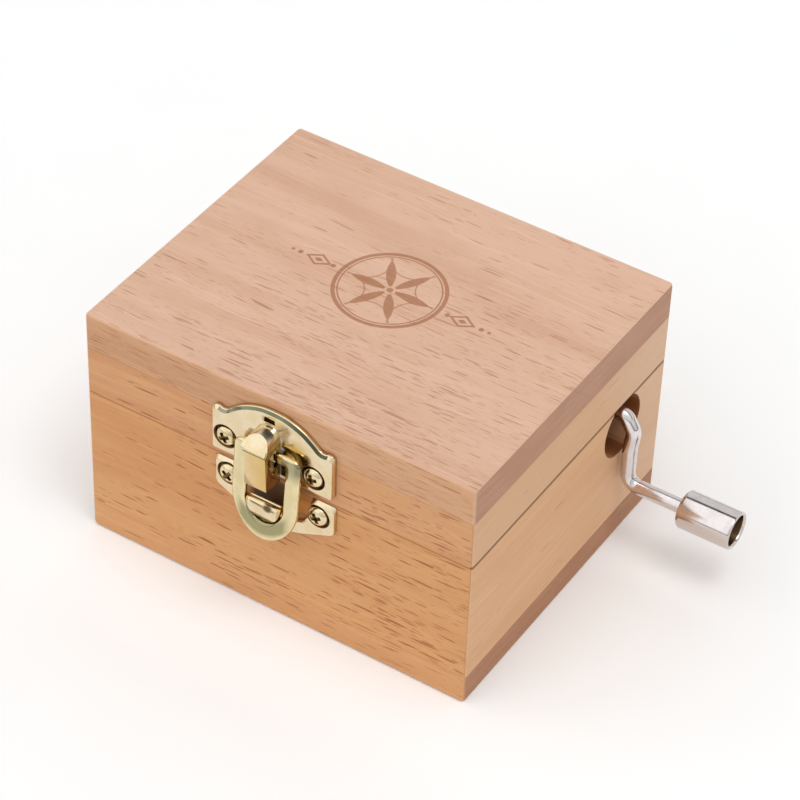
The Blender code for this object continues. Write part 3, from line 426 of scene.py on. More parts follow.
# ---------------------------------------------------------------------------
# metals and the nylon wheel
# ---------------------------------------------------------------------------
def metal(name, base, tint, rough=0.2, brushed=0.0, along="x", spots=0.35, scratch=0.35,
          bump=0.02, scale=1.0, crevice_shade=None, reach=0.7, extra=None):
    """Plated or bare metal: slow colour drift, smears, fine lines, painted shade in the crevices."""
    g = Graph(name)
    x, y, z = g.place()
    p = g.vec(x, y, z)
    cloud = g.noise(p, 0.55 * scale, 4.0, 0.6)
    grime_and_shade = g.noise(p, 2.6 * scale, 4.0, 0.65)
    micro = g.noise(p, 14.0 * scale, 3.0, 0.6)
    u = {"x": g.vec(x * 0.5, y * 16.0, z * 16.0), "y": g.vec(x * 16.0, y * 0.5, z * 16.0),
         "z": g.vec(x * 16.0, y * 16.0, z * 0.5)}[along]
    lines = g.noise(u, 1.0, 3.0, 0.6)
    col = g.mix(lin(*base), lin(*tint), cloud.smooth(0.36, 0.66) * 0.65)
    col = g.mix(col, lin(*[c * 0.80 for c in tint]), grime_and_shade.smooth(0.56, 0.80) * spots)
    col = g.mix(col, lin(*[min(255, c + 8) for c in base]), lines.smooth(0.55, 0.8) * scratch)
    if extra is not None:
        col = extra(g, x, y, z, col)
    if crevice_shade is not None:
        # painted shade: ambient occlusion darkens the colour in crevices and recesses
        ao = g.node("ShaderNodeAmbientOcclusion")
        ao.samples = 8
        ao.inputs["Distance"].default_value = reach * MM
        shade = Sock(g, ao.outputs["AO"]).smooth(0.78, 0.25)
        col = g.mix(col, lin(*crevice_shade), shade * 0.85)
    ro = (grime_and_shade * 0.10 + micro * 0.04 + lines * (0.08 * (brushed + 0.3))) + (rough - 0.07)
    h = micro * 0.35 + lines * brushed + cloud * 1.2
    g.set(Base_Color=col, Roughness=ro.clamp(), Normal=g.bump(h, bump, 0.30))
    g.bsdf.inputs["Metallic"].default_value = 1.0
    return g.mat


def nylon(name):
    g = Graph(name)
    x, y, z = g.place()
    p = g.vec(x, y, z)
    cloud = g.noise(p, 0.7, 4.0, 0.6)
    fine = g.noise(p, 9.0, 3.0, 0.6)
    col = g.mix(lin(236, 232, 220), lin(222, 215, 198), cloud.smooth(0.35, 0.7))
    col = g.mix(col, lin(205, 196, 176), fine.smooth(0.6, 0.85) * 0.35)
    g.set(Base_Color=col, Roughness=(fine * 0.15 + 0.32), Normal=g.bump(fine, 0.02, 0.3))
    g.bsdf.inputs["Subsurface Weight"].default_value = 0.15
    g.bsdf.inputs["Subsurface Radius"].default_value = (0.001, 0.0009, 0.0007)
    g.bsdf.inputs["Subsurface Scale"].default_value = 0.4
    return g.mat


# ---------------------------------------------------------------------------
# materials on the carried-over nodes
# ---------------------------------------------------------------------------
def right_and_front(g, x, y, z):
    """Where the lid panel shows more rays: towards the front and the right."""
    return ((x * 0.012 - y * 0.022) + 0.40).clamp()


def right_low(g, x, y, z):
    """Where the front boards show more rays: towards the right and lower down."""
    return ((x * 0.015 + z * -0.006) + 0.52).clamp()


TOP_END = ((186, 140, 112), (176, 128, 100))
LOW_END = ((178, 128, 94), (168, 116, 82))

wood = {
    "lid_top_panel": beech("beech_lid_top", "x", (219, 180, 155), (205, 161, 132), (162, 105, 74),
                           shift=1.3, fleck=0.85, fine=0.8, side=right_and_front,
                           end=TOP_END, ornament=True, front=(240, 225, 200),
                           dash=(0.62, 0.46), thin=1.0),
    "base_bottom_panel": beech("beech_base_bottom", "x", (212, 157, 107), (200, 140, 88),
                               (150, 98, 58), shift=7.7, fleck=0.8, fine=0.6,
                               side=right_low, end=LOW_END),
    "lid_front_wall": beech("beech_lid_front", "x", (208, 154, 108), (196, 136, 90),
                            (146, 77, 36), shift=12.1, fleck=0.85, fine=0.55, side=right_low,
                            end=TOP_END, seam=0.06, thin=1.25, dash=(0.80, 0.45), grime_and_shade=True),
    "base_front_wall": beech("beech_base_front", "x", (211, 156, 103), (200, 139, 86),
                             (146, 76, 34), shift=12.1, fleck=0.95, fine=0.55, side=right_low,
                             end=TOP_END, seam=0.06, thin=1.3, dash=(0.80, 0.45), grime_and_shade=True),
    "lid_back_wall": beech("beech_lid_back", "x", (214, 166, 122), (200, 146, 102),
                           (150, 98, 60), shift=23.7, fleck=0.6, fine=0.6, end=TOP_END,
                           seam=0.5),
    "base_back_wall": beech("beech_base_back", "x", (214, 165, 118), (200, 146, 98),
                            (150, 98, 60), shift=23.7, fleck=0.7, fine=0.6, end=TOP_END,
                            seam=0.5),
    "lid_right_wall": beech("beech_lid_right", "y", (213, 169, 130), (203, 157, 117),
                            (176, 130, 96), shift=31.9, fleck=0.06, fine=0.15, contrast=0.8,
                            end=TOP_END, seam=1.0, hole=True),
    "base_right_wall": beech("beech_base_right", "y", (218, 171, 128), (211, 159, 115),
                             (176, 130, 96), shift=33.3, fleck=0.05, fine=0.12, contrast=0.9,
                             end=TOP_END, seam=1.0, hole=True),
    "lid_left_wall": beech("beech_lid_left", "y", (210, 168, 132), (200, 154, 116),
                           (172, 126, 92), shift=47.2, fleck=0.12, fine=0.3, contrast=0.8,
                           end=TOP_END, seam=0.6),
    "base_left_wall": beech("beech_base_left", "y", (208, 166, 130), (200, 152, 114),
                            (172, 126, 92), shift=49.2, fleck=0.12, fine=0.3, contrast=0.8,
                            end=TOP_END, seam=0.6),
}

def bill_gold(g, x, y, z, col):
    """Painted reflection and shade: a deeper gold on the bill's front and a dark gold on its flanks."""
    d = (y + 26.5) * -1.0
    near = (x - 0.25).abs().smooth(2.75, 2.5)
    low = z.smooth(34.1, 33.7)
    front = d.smooth(4.4, 4.8) * near * low
    nx, ny, nz = g.facing()
    flank = d.smooth(1.1, 1.5) * (x - 0.25).abs().smooth(3.0, 2.7) * nx.abs().smooth(0.7, 0.95) * z.gt(24.5)
    fade = (x * 0.10 + 0.72).clamp()
    col = g.mix(col, lin(212, 178, 102), front * fade * 0.9)
    col = g.mix(col, lin(150, 116, 48), flank * 0.85)
    # painted shade: a dark line along the crease under and beside the sloping facet
    px, pz = x + 0.17, z - 34.05
    arch = ((px * px + pz * pz).sqrt() - 1.97).abs().smooth(0.10, 0.03) * px.gt(0.2) * pz.gt(-0.2)
    fold = (z - 33.78).abs().smooth(0.10, 0.03) * near
    col = g.mix(col, lin(110, 86, 44), arch.max(fold) * d.smooth(4.3, 4.6) * 0.9)
    # painted shadow on the plate under the bill
    under = (d.smooth(1.35, 1.12) * (x - 0.25).abs().smooth(2.9, 2.2) * z.smooth(27.4, 28.4)
             * z.smooth(34.0, 32.4))
    col = g.mix(col, lin(46, 34, 18), under * 0.9)
    # gold reflections on the plate beside the bill
    qx, qz = (x - 4.4) * 0.42, (z - 33.4) * 0.40
    glow = (qx * qx + qz * qz).sqrt().smooth(1.15, 0.25) * d.smooth(1.15, 1.0)
    col = g.mix(col, lin(204, 166, 84), glow * 0.7)
    # the rolled edge of the tongue: a painted dark spot and shade line along its top, and painted golden
    # reflection on its flanks
    bx, bz = (x - 1.15) * 0.75, z - 23.05
    dent = (bx * bx + bz * bz).sqrt().smooth(0.75, 0.30)
    crease = (z - 23.12 + (x + 0.8) * 0.06).abs().smooth(0.20, 0.05) * (x - 0.3).abs().smooth(2.3, 1.7)
    dent = dent.max(crease * 0.8) * d.smooth(2.8, 3.1) * z.lt(24.0)
    col = g.mix(col, lin(76, 56, 26), dent * 0.9)
    side = d.smooth(2.2, 2.5) * z.lt(24.2) * (x - 0.25).abs().smooth(2.30, 2.48)
    return g.mix(col, lin(200, 152, 56), side * 0.7)


def rim_tone(g, x, y, z, col):
    """Painted reflection on the arched edge, darker from the left to the right."""
    col = g.mix(col, lin(156, 154, 132), x.smooth(-2.0, -7.0) * 0.8)
    return g.mix(col, lin(74, 76, 58), x.smooth(1.0, 6.5) * 0.7)


def loop_tone(g, x, y, z, col):
    """Painted reflection greyer where the bow bends out, painted shade under the right of the top bar, and a
    greyer cream along the middle of the arms.
    """
    lx = x - 0.35
    t = z - lx * lx * 0.125
    bow = t.smooth(17.9, 18.8) * t.smooth(21.6, 20.2) * lx.abs().smooth(4.6, 3.4)
    col = g.mix(col, lin(142, 138, 100), bow * 0.82)
    top = z.smooth(28.8, 31.3) * z.smooth(32.75, 32.45) * x.smooth(2.6, 3.4)
    col = g.mix(col, lin(116, 116, 90), top * 0.8)
    arm = (lx.abs() - 4.1).abs().smooth(0.9, 0.2)
    return g.mix(col, lin(206, 196, 158), arm * 0.35)


plate = metal("plated_brass", (231, 215, 183), (222, 200, 154), rough=0.13, spots=0.25,
              scratch=0.3, along="z", crevice_shade=(96, 70, 28), extra=bill_gold)
# dark olive copy of the brass for the arched edge: painted reflection of the shaded wood behind it
rim = metal("plated_brass_rim_painted_reflection", (122, 124, 98), (96, 98, 76), rough=0.16, spots=0.3,
            scratch=0.5, along="x", extra=rim_tone)
# darker copy of the brass for recesses: painted shade in the screw seats, cross slots, slit and hollow under
# the bill
recess_shade = metal("brass_recess_painted_shade", (140, 108, 66), (112, 84, 48), rough=0.38, spots=0.4,
            scratch=0.1, crevice_shade=(64, 44, 22), reach=0.8)
loop_mat = metal("plated_brass_loop", (232, 216, 172), (218, 198, 146), rough=0.15,
                 spots=0.3, scratch=0.35, along="z", crevice_shade=(100, 78, 36), reach=0.5,
                 extra=loop_tone)
screw = metal("brass_screw", (232, 216, 178), (214, 192, 146), rough=0.18, spots=0.4,
              scratch=0.25, along="x", crevice_shade=(70, 50, 26), reach=0.5)
hinge = metal("hinge_brass", (234, 212, 156), (220, 190, 124), rough=0.2, spots=0.4,
              scratch=0.35, along="x", crevice_shade=(90, 64, 26))
def underside_reflection(g, x, y, z, col):
    """Painted reflection: the undersides of the crank pin and knob take a warm grey."""
    nx, ny, nz = g.facing()
    return g.mix(col, lin(206, 192, 182), nz.smooth(0.41, 0.33) * x.smooth(36.0, 42.5) * 0.85)


nickel = metal("bright_nickel", (228, 222, 222), (214, 207, 206), rough=0.13, spots=0.18,
               scratch=0.2, bump=0.008, along="x", crevice_shade=(60, 52, 44), reach=0.6,
               extra=underside_reflection)
worm = metal("worm_brass", (228, 198, 128), (210, 172, 96), rough=0.22, spots=0.4, along="x",
             crevice_shade=(80, 56, 20), reach=0.4)
drum = metal("cylinder_brass", (230, 200, 130), (214, 178, 100), rough=0.26, brushed=0.5,
             along="x", spots=0.3)
comb = metal("comb_steel", (196, 198, 202), (176, 180, 186), rough=0.20, brushed=0.7,
             along="y", spots=0.3, crevice_shade=(50, 50, 54), reach=0.5)
cast = metal("cast_frame", (188, 184, 176), (160, 156, 150), rough=0.42, spots=0.5,
             scratch=0.1, bump=0.05, along="x", crevice_shade=(60, 58, 54))
bracket = metal("bracket_steel", (202, 202, 204), (178, 180, 184), rough=0.26, spots=0.35,
                brushed=0.4, along="x", crevice_shade=(60, 60, 62))
steel_screw = metal("steel_screw", (206, 206, 206), (184, 184, 188), rough=0.24, spots=0.4,
                    along="x", crevice_shade=(40, 40, 42), reach=0.5)
gear = nylon("gear_nylon")

BY_SLOT = {"plated_brass": plate, "brass_screw": screw, "hinge_brass": hinge,
           "bright_nickel": nickel, "worm_brass": worm, "cylinder_brass": drum,
           "comb_steel": comb, "cast_frame": cast, "bracket_steel": bracket,
           "steel_screw": steel_screw, "gear_nylon": gear}

for name, obj in NODES.items():
    for s in obj.material_slots:
        s.material = wood.get(name) or BY_SLOT[s.material.name.split(".")[0]]


# ---------------------------------------------------------------------------
# mesh helpers, all in millimetres
# ---------------------------------------------------------------------------
FRONT = -26.5                  # the case's front face
LATCH_X = 0.25
CRANK_Y, CRANK_Z, PIN_Z = 14.6, 23.8, 11.45


def build(name, verts, faces, mats, index=None, smooth=35):
    me = bpy.data.meshes.new(name)
    me.from_pydata([[c * MM for c in v] for v in verts], [], faces)
    for m in mats:
        me.materials.append(m)
    if index is not None:
        if isinstance(index, int):
            index = [index] * len(faces)
        me.polygons.foreach_set("material_index", index)
    bm = bmesh.new()
    bm.from_mesh(me)
    bmesh.ops.remove_doubles(bm, verts=bm.verts, dist=1e-7)
    bmesh.ops.recalc_face_normals(bm, faces=bm.faces)
    bm.to_mesh(me)
    bm.free()
    me.shade_smooth()
    me.set_sharp_from_angle(angle=math.radians(smooth))
    o = bpy.data.objects.new(name, me)
    bpy.context.scene.collection.objects.link(o)
    return o


def on_front(u, z, d):
    return (LATCH_X + u, FRONT - d, z)


def rings(loops, closed=True):
    """Skin through loops of equal length, with a cap at both ends."""
    n = len(loops[0])
    verts = [v for loop in loops for v in loop]
    faces = [tuple(range(n))] if closed else []
    for k in range(len(loops) - 1):
        for i in range(n):
            j = (i + 1) % n
            faces.append((k * n + i, k * n + j, (k + 1) * n + j, (k + 1) * n + i))
    if closed:
        faces.append(tuple(range((len(loops) - 1) * n, len(loops) * n)))
    return verts, faces


def prism(profile, place, a, b):
    return rings([[place(p, q, a) for p, q in profile], [place(p, q, b) for p, q in profile]])


def turned(profile, n, place):
    """Closed solid turned from (radius, along) points."""
    verts, faces, rows = [], [], []
    for r, t in profile:
        if r < 1e-6:
            rows.append([len(verts)])
            verts.append(place(0.0, 0.0, t))
        else:
            rows.append(list(range(len(verts), len(verts) + n)))
            verts += [place(r * math.cos(2 * math.pi * i / n), r * math.sin(2 * math.pi * i / n), t)
                      for i in range(n)]
    pairs = list(zip(rows, rows[1:]))
    if len(rows[0]) > 1:
        pairs.append((rows[-1], rows[0]))
    for a, b in pairs:
        for i in range(n):
            j = (i + 1) % n
            if len(a) == 1 and len(b) == 1:
                continue
            if len(a) == 1:
                faces.append((a[0], b[i], b[j]))
            elif len(b) == 1:
                faces.append((a[i], a[j], b[0]))
            else:
                faces.append((a[i], a[j], b[j], b[i]))
    return verts, faces


def combine(a, op, *others):
    """Applies exact Booleans and removes the tools."""
    for b in others:
        m = a.modifiers.new("b", "BOOLEAN")
        m.operation, m.solver, m.object = op, "EXACT", b
        dg = bpy.context.evaluated_depsgraph_get()
        me = bpy.data.meshes.new_from_object(a.evaluated_get(dg))
        a.modifiers.clear()
        a.data = me
        bpy.data.objects.remove(b)
    return a


def soften(o, width, segments=2, angle=38, smooth=35):
    """Rounds the edges with a bevel and applies it."""
    bm = bmesh.new()
    bm.from_mesh(o.data)
    bmesh.ops.remove_doubles(bm, verts=bm.verts, dist=2e-6)
    bmesh.ops.dissolve_limit(bm, angle_limit=math.radians(1.0), verts=bm.verts, edges=bm.edges,
                             delimit={"MATERIAL"})
    bm.to_mesh(o.data)
    bm.free()
    m = o.modifiers.new("edge", "BEVEL")
    m.width, m.segments, m.limit_method = width * MM, segments, "ANGLE"
    m.angle_limit = math.radians(angle)
    m.use_clamp_overlap = True
    m.miter_outer = "MITER_ARC"
    dg = bpy.context.evaluated_depsgraph_get()
    me = bpy.data.meshes.new_from_object(o.evaluated_get(dg))
    o.modifiers.clear()
    o.data = me
    me.shade_smooth()
    me.set_sharp_from_angle(angle=math.radians(smooth))
    return o


def through(points, k):
    """Catmull-Rom curve through points, k steps to each span."""
    p = [points[0]] + list(points) + [points[-1]]
    out = []
    for i in range(1, len(p) - 2):
        for j in range(k):
            t = j / k
            out.append(tuple(0.5 * (2 * p[i][c] + (p[i + 1][c] - p[i - 1][c]) * t
                                    + (2 * p[i - 1][c] - 5 * p[i][c] + 4 * p[i + 1][c] - p[i + 2][c]) * t * t
                                    + (3 * p[i][c] - p[i - 1][c] - 3 * p[i + 1][c] + p[i + 2][c]) * t ** 3)
                             for c in range(2)))
    out.append(tuple(points[-1]))
    return out


def arc(cx, cz, r, a0, a1, k):
    return [(cx + r * math.cos(math.radians(a0 + (a1 - a0) * i / k)),
             cz + r * math.sin(math.radians(a0 + (a1 - a0) * i / k))) for i in range(k + 1)]


def inset(pts, amounts):
    """Moves each edge of a counter-clockwise outline inwards by its own amount."""
    n = len(pts)
    lines = []
    for i in range(n):
        (x0, y0), (x1, y1) = pts[i], pts[(i + 1) % n]
        dx, dy = x1 - x0, y1 - y0
        l = math.hypot(dx, dy)
        lines.append(((x0 - dy / l * amounts[i], y0 + dx / l * amounts[i]), (dx / l, dy / l)))
    out = []
    for i in range(n):
        (px, py), (ux, uy) = lines[i - 1]
        (qx, qy), (vx, vy) = lines[i]
        det = ux * vy - uy * vx
        if abs(det) < 1e-3:
            out.append((qx, qy))
        else:
            t = ((qx - px) * vy - (qy - py) * vx) / det
            out.append((px + ux * t, py + uy * t))
    return out


# ---------------------------------------------------------------------------
# latch
# ---------------------------------------------------------------------------
STRIKE_SCREWS = [(-7.45, 30.4), (7.0, 30.15)]
CATCH_SCREWS = [(-7.15, 23.35), (7.65, 23.1)]
METALS = (plate, rim, recess_shade)


def dish(x, z, front, floor):
    """Sunk seat and clearance hole of a latch screw."""
    v, f = turned([(0.0, front + 0.4), (2.02, front + 0.4), (2.00, front), (1.94, front - 0.07),
                   (1.76, floor), (1.15, floor), (1.15, -0.5), (0.0, -0.5)], 48,
                  lambda a, b, t: (x + a, FRONT - t, z + b))
    # index 2 gives the seat's walls and floor the recess material: painted shade
    return build("dish", v, f, METALS, 2)


def strike_plate():
    arch = through([(0.0, 38.45), (1.8, 38.33), (3.5, 37.85), (5.2, 37.05), (6.7, 35.95),
                    (7.5, 35.22)], 4)
    tip = [(8.0, 34.98), (8.5, 34.98), (8.9, 35.18), (9.5, 35.15), (9.95, 34.75)]
    half = arch + tip
    top = [(-x, z) for x, z in reversed(half[1:])] + half
    out = ([(-9.95, 27.95), (-9.9, 27.75), (-9.75, 27.6), (-9.5, 27.5),
            (9.5, 27.5), (9.75, 27.6), (9.9, 27.75), (9.95, 27.95)] + list(reversed(top)))
    n = len(out)

    def band(a, b):
        r = []
        for i, (x, z) in enumerate(out):
            z1 = out[(i + 1) % n][1]
            r.append(a if z > 34.0 and z1 > 34.0 else b)
        return r
    loops = [(out, 0.03), (out, 0.48), (inset(out, band(0.03, 0.03)), 0.58),
             (inset(out, band(0.10, 0.06)), 0.64), (inset(out, band(0.46, 0.12)), 1.0)]
    verts, faces = rings([[on_front(u, z, d) for u, z in loop] for loop, d in loops])
    index = [0] * len(faces)
    # the arched band takes the dark rim material: painted reflection
    for i in range(n):
        x, z = out[i]
        x1, z1 = out[(i + 1) % n]
        if z > 34.0 and z1 > 34.0 and max(abs(x), abs(x1)) < 9.0:
            index[1 + 3 * n + i] = 1
    o = build("strike_plate_piece", verts, faces, METALS, index)

    # the bill: a folded hook with an arched top and a sloping face
    side = [(0.4, 36.6), (2.75, 36.6), (2.95, 36.5), (4.9, 34.0), (5.0, 33.75), (5.0, 27.95),
            (4.9, 27.82), (1.6, 27.6), (1.6, 30.9), (3.0, 30.9), (3.0, 33.3), (0.4, 33.3)]
    front = ([(-1.75, 25.0), (1.95, 25.0), (1.66, 33.4)] + arc(-0.42, 34.05, 2.1, 0, 180, 28)
             + [(-1.80, 33.5)])
    v, f = prism(side, lambda d, z, x: (x, FRONT - d, z), LATCH_X - 4, LATCH_X + 4)
    bill = build("bill", v, f, METALS)
    v, f = prism(front, on_front, 0.2, 6.0)
    combine(bill, "INTERSECT", build("bill_front", v, f, METALS))
    # the hollow under the bill and the slit above it take the recess material: painted shade
    hollow = [(1.2, 26.0), (4.35, 26.0), (4.35, 33.4), (2.5, 35.6), (1.2, 35.6)]
    v, f = prism(hollow, lambda d, z, x: (x, FRONT - d, z), LATCH_X - 4, LATCH_X + 4)
    void = build("void", v, f, METALS, 2)
    v, f = prism([(-1.2, 25.0), (1.2, 25.0)] + arc(0.0, 33.7, 1.2, 0, 180, 20), on_front, 0.2, 6.0)
    combine(void, "INTERSECT", build("void_front", v, f, METALS, 2))
    combine(o, "UNION", bill)
    v, f = prism([(-1.30, 36.5), (0.55, 36.5), (0.45, 37.30), (-1.20, 37.36)], on_front, -0.5, 2.0)
    slit = build("slit", v, f, METALS, 2)
    combine(o, "DIFFERENCE", void, slit, *[dish(x, z, 1.0, 0.45) for x, z in STRIKE_SCREWS])
    soften(o, 0.09)
    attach(o, "lid")
    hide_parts("latch_strike_plate")


def catch_plate():
    wing = [(0.0, 17.5), (2.6, 17.65), (4.6, 18.3), (9.2, 20.45), (9.7, 20.8), (9.9, 21.3),
            (9.9, 25.45), (9.7, 25.65), (6.3, 25.65), (5.95, 23.6), (5.6, 21.9), (5.0, 20.95),
            (4.2, 20.45), (3.4, 20.4), (2.9, 20.7), (0.0, 20.7)]
    out = ([(x + 0.25 if x > 9 else x, z) for x, z in wing[:-1]]
           + [(0.25 - x if x > 9 else -x, z) for x, z in reversed(wing[1:-1])])
    n = len(out)
    rim_in = [0.55 if min(out[i][1], out[(i + 1) % n][1]) > 25.3 else 0.07 for i in range(n)]
    loops = [(out, 0.03), (out, 0.12), (inset(out, [a * 0.85 for a in rim_in]), 0.53),
             (inset(out, rim_in), 0.60)]
    v, f = rings([[on_front(u, z, d) for u, z in loop] for loop, d in loops])
    o = build("catch_plate_piece", v, f, METALS, 0)
    # the upturned tongue, rolled at its top edge
    tongue = [(0.2, 18.0), (1.5, 18.0), (2.05, 18.25), (2.30, 18.8), (2.40, 20.1), (2.46, 21.6),
              (2.50, 23.0), (2.52, 23.3), (2.48, 23.52), (2.34, 23.66), (2.14, 23.66), (2.0, 23.5),
              (1.95, 23.2), (1.9, 21.4), (1.83, 20.3), (1.65, 19.75), (1.2, 19.4), (0.2, 19.4)]
    v, f = prism(tongue, lambda d, z, x: (x, FRONT - d, z), LATCH_X - 2.6, LATCH_X + 2.55)
    combine(o, "UNION", build("tongue", v, f, METALS, 0))
    # its face swells out through the ring
    swell = [(2.0, 20.2), (2.6, 20.25), (3.05, 20.5), (3.28, 20.9), (3.38, 21.5), (3.40, 22.4),
             (3.36, 22.95), (3.24, 23.3), (3.02, 23.5), (2.74, 23.58), (2.2, 23.5), (2.0, 23.2)]
    v, f = prism(swell, lambda d, z, x: (x, FRONT - d, z), LATCH_X - 4, LATCH_X + 4)
    face = build("tongue_face", v, f, METALS, 0)
    u_shape = ([(2.88 * math.cos(math.radians(a)) + 0.1, 23.85 + 3.48 * math.sin(math.radians(a)))
                for a in range(190, 351, 8)] + [(2.75, 24.2), (-2.6, 24.2)])
    v, f = prism(u_shape, on_front, 1.5, 4.5)
    combine(face, "INTERSECT", build("tongue_outline", v, f, METALS, 0))
    combine(o, "UNION", face)
    combine(o, "DIFFERENCE", *[dish(x, z, 0.6, 0.2) for x, z in CATCH_SCREWS])
    soften(o, 0.07)
    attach(o, "case")
    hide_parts("latch_catch_plate")


def latch_loop():
    """Stamped ring with a crowned section; its bow flares outwards for a fingernail."""
    half_w, half_in, bow, axis_z, t = 5.45, 3.1, 7.0, 32.1, 0.85
    outer, inner = [], []
    cz, zi = 17.4 + bow, 17.4 + 2.75 + 3.7
    k = 40
    for i in range(k + 1):
        a = math.radians(180 + 180 * i / k)
        outer.append((half_w * math.cos(a), cz + bow * math.sin(a)))
        inner.append((half_in * math.cos(a), zi + 3.7 * math.sin(a)))
    up = [25.6, 27.0, 28.6, 30.2]
    for z in up:
        outer.append((half_w, z))
        inner.append((half_in, min(z, 30.4)))
    ro, ri = 1.3, 0.5
    outer += arc(half_w - ro, axis_z + 0.7 - ro, ro, 0, 90, 10)
    inner += arc(half_in - ri, axis_z - 0.7 - ri, ri, 0, 90, 10)
    for x in (1.4, 0.0, -1.4):
        outer.append((x * 1.6, axis_z + 0.7))
        inner.append((x, axis_z - 0.7))
    outer += arc(-half_w + ro, axis_z + 0.7 - ro, ro, 90, 180, 10)
    inner += arc(-half_in + ri, axis_z - 0.7 - ri, ri, 90, 180, 10)
    for z in reversed(up):
        outer.append((-half_w, z))
        inner.append((-half_in, min(z, 30.4)))
    # across the section: share of the width, then depth as a share of the thickness
    front = [(0.0, 0.30), (0.015, 0.62), (0.06, 0.84), (0.16, 0.95), (0.32, 1.0), (0.50, 1.0),
             (0.68, 0.98), (0.84, 0.90), (0.94, 0.74), (0.985, 0.52), (1.0, 0.26)]
    back = [(0.96, 0.05), (0.80, 0.0), (0.50, 0.0), (0.20, 0.0), (0.04, 0.05)]
    verts, faces, n, m = [], [], len(outer), len(front) + len(back)
    for (ox, oz), (ix, iz) in zip(outer, inner):
        for f, h in front + back:
            x, z = ix + (ox - ix) * f, iz + (oz - iz) * f
            low = max(0.0, 21.2 - z)
            flare = 0.022 * low * low
            d = 1.64 + (axis_z - z) * 0.088 + t * h + flare
            verts.append((LATCH_X + 0.1 + x, FRONT - d, z))
    for i in range(n):
        j = (i + 1) % n
        for q in range(m):
            w = (q + 1) % m
            faces.append((i * m + q, i * m + w, j * m + w, j * m + q))
    o = build("latch_loop_piece", verts, faces, (loop_mat,), 0, smooth=60)
    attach(o, "loop")
    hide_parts("latch_loop")


def latch_screw(name, x, z, seat, turn, body):
    """Pan-head screw with a cross recess; seat is the depth of its seat from the wall."""
    head = [(0.0, 0.95), (0.45, 0.94), (0.8, 0.89), (1.1, 0.78), (1.35, 0.60), (1.5, 0.40),
            (1.58, 0.20), (1.6, 0.0), (0.9, 0.0), (0.9, -4.0), (0.0, -4.9)]
    ca, sa = math.cos(math.radians(turn)), math.sin(math.radians(turn))

    def place(a, b, t):
        return (x + a, FRONT - seat - t, z + b)

    def turned_place(a, b, t):
        return place(a * ca - b * sa, a * sa + b * ca, t)
    mats = (screw, recess_shade)
    v, f = turned(head, 48, place)
    o = build(name, v, f, mats, 0)
    # the cross recess takes the recess material (index 1): painted shade
    for q in range(2):
        verts = []
        for dep, arm, half in ((1.2, 1.02, 0.34), (0.93, 0.98, 0.31), (0.52, 0.50, 0.22)):
            ring = [(-arm, -half), (arm, -half), (arm, half), (-arm, half)]
            if q:
                ring = [(b, -a) for a, b in ring]
            verts.append([turned_place(a, b, dep) for a, b in ring])
        vv, ff = rings(verts)
        combine(o, "DIFFERENCE", build("cross", vv, ff, mats, 1))
    o.data.shade_smooth()
    o.data.set_sharp_from_angle(angle=math.radians(32))
    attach(o, body)
    return o


strike_plate()
catch_plate()
latch_loop()
for where, side, (x, z), seat, turn, body in (
        ("upper", "left", STRIKE_SCREWS[0], 0.55, 28, "lid"),
        ("upper", "right", STRIKE_SCREWS[1], 0.55, 12, "lid"),
        ("lower", "left", CATCH_SCREWS[0], 0.30, 50, "case"),
        ("lower", "right", CATCH_SCREWS[1], 0.30, 24, "case")):
    o = latch_screw("screw_%s_%s" % (where, side), x, z, seat, turn, body)
    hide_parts("latch_screw_%s_%s" % (where, side))


# ---------------------------------------------------------------------------
# crank wire and knob
# ---------------------------------------------------------------------------
def rounded(points, radii, k):
    """2-D polyline with its corners rounded."""
    out = [points[0]]
    for i in range(1, len(points) - 1):
        p0, p1, p2 = Vector(points[i - 1]), Vector(points[i]), Vector(points[i + 1])
        a, b = (p0 - p1).normalized(), (p2 - p1).normalized()
        ang, r = a.angle(b), radii[i - 1]
        start, end = p1 + a * (r / math.tan(ang / 2)), p1 + b * (r / math.tan(ang / 2))
        c = p1 + (a + b).normalized() * (r / math.sin(ang / 2))
        v0, v1 = start - c, end - c
        turn = v0.angle(v1) * (1 if v0.x * v1.y - v0.y * v1.x > 0 else -1)
        for j in range(k + 1):
            th = turn * j / k
            out.append((c.x + v0.x * math.cos(th) - v0.y * math.sin(th),
                        c.y + v0.x * math.sin(th) + v0.y * math.cos(th)))
    out.append(points[-1])
    return out


def crank_wire():
    path = rounded([(-5.4, CRANK_Z), (32.45, CRANK_Z), (33.95, 21.35), (33.6, 18.2),
                    (33.6, PIN_Z), (46.4, PIN_Z)], [1.3, 2.0, 6.0, 2.0], 14)
    r, n = 1.12, 40
    verts, faces = [], []
    for i, (x, z) in enumerate(path):
        a, b = Vector(path[max(0, i - 1)]), Vector(path[min(len(path) - 1, i + 1)])
        t = (b - a).normalized()
        nx, nz = -t.y, t.x
        for s, rr in (((0.0, r),) if 0 < i < len(path) - 1 else
                      ((0.0, r), (0.10, r - 0.03), (0.16, r - 0.14)) if i else
                      ((0.16, r - 0.14), (0.10, r - 0.03), (0.0, r))):
            s = (1 if i else -1) * (s - 0.16)
            if 0 < i < len(path) - 1:
                s = 0.0
            cx, cz = x + t.x * s, z + t.y * s
            verts += [(cx + nx * rr * math.cos(q), CRANK_Y + rr * math.sin(q),
                       cz + nz * rr * math.cos(q))
                      for q in (2 * math.pi * j / n for j in range(n))]
    rows = len(verts) // n
    for k in range(rows - 1):
        for j in range(n):
            w = (j + 1) % n
            faces.append((k * n + j, k * n + w, (k + 1) * n + w, (k + 1) * n + j))
    faces.append(tuple(range(n)))
    faces.append(tuple(range((rows - 1) * n, rows * n)))
    o = build("crank_wire_piece", verts, faces, (nickel,), 0, smooth=50)
    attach(o, "crank")
    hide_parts("crank_wire")


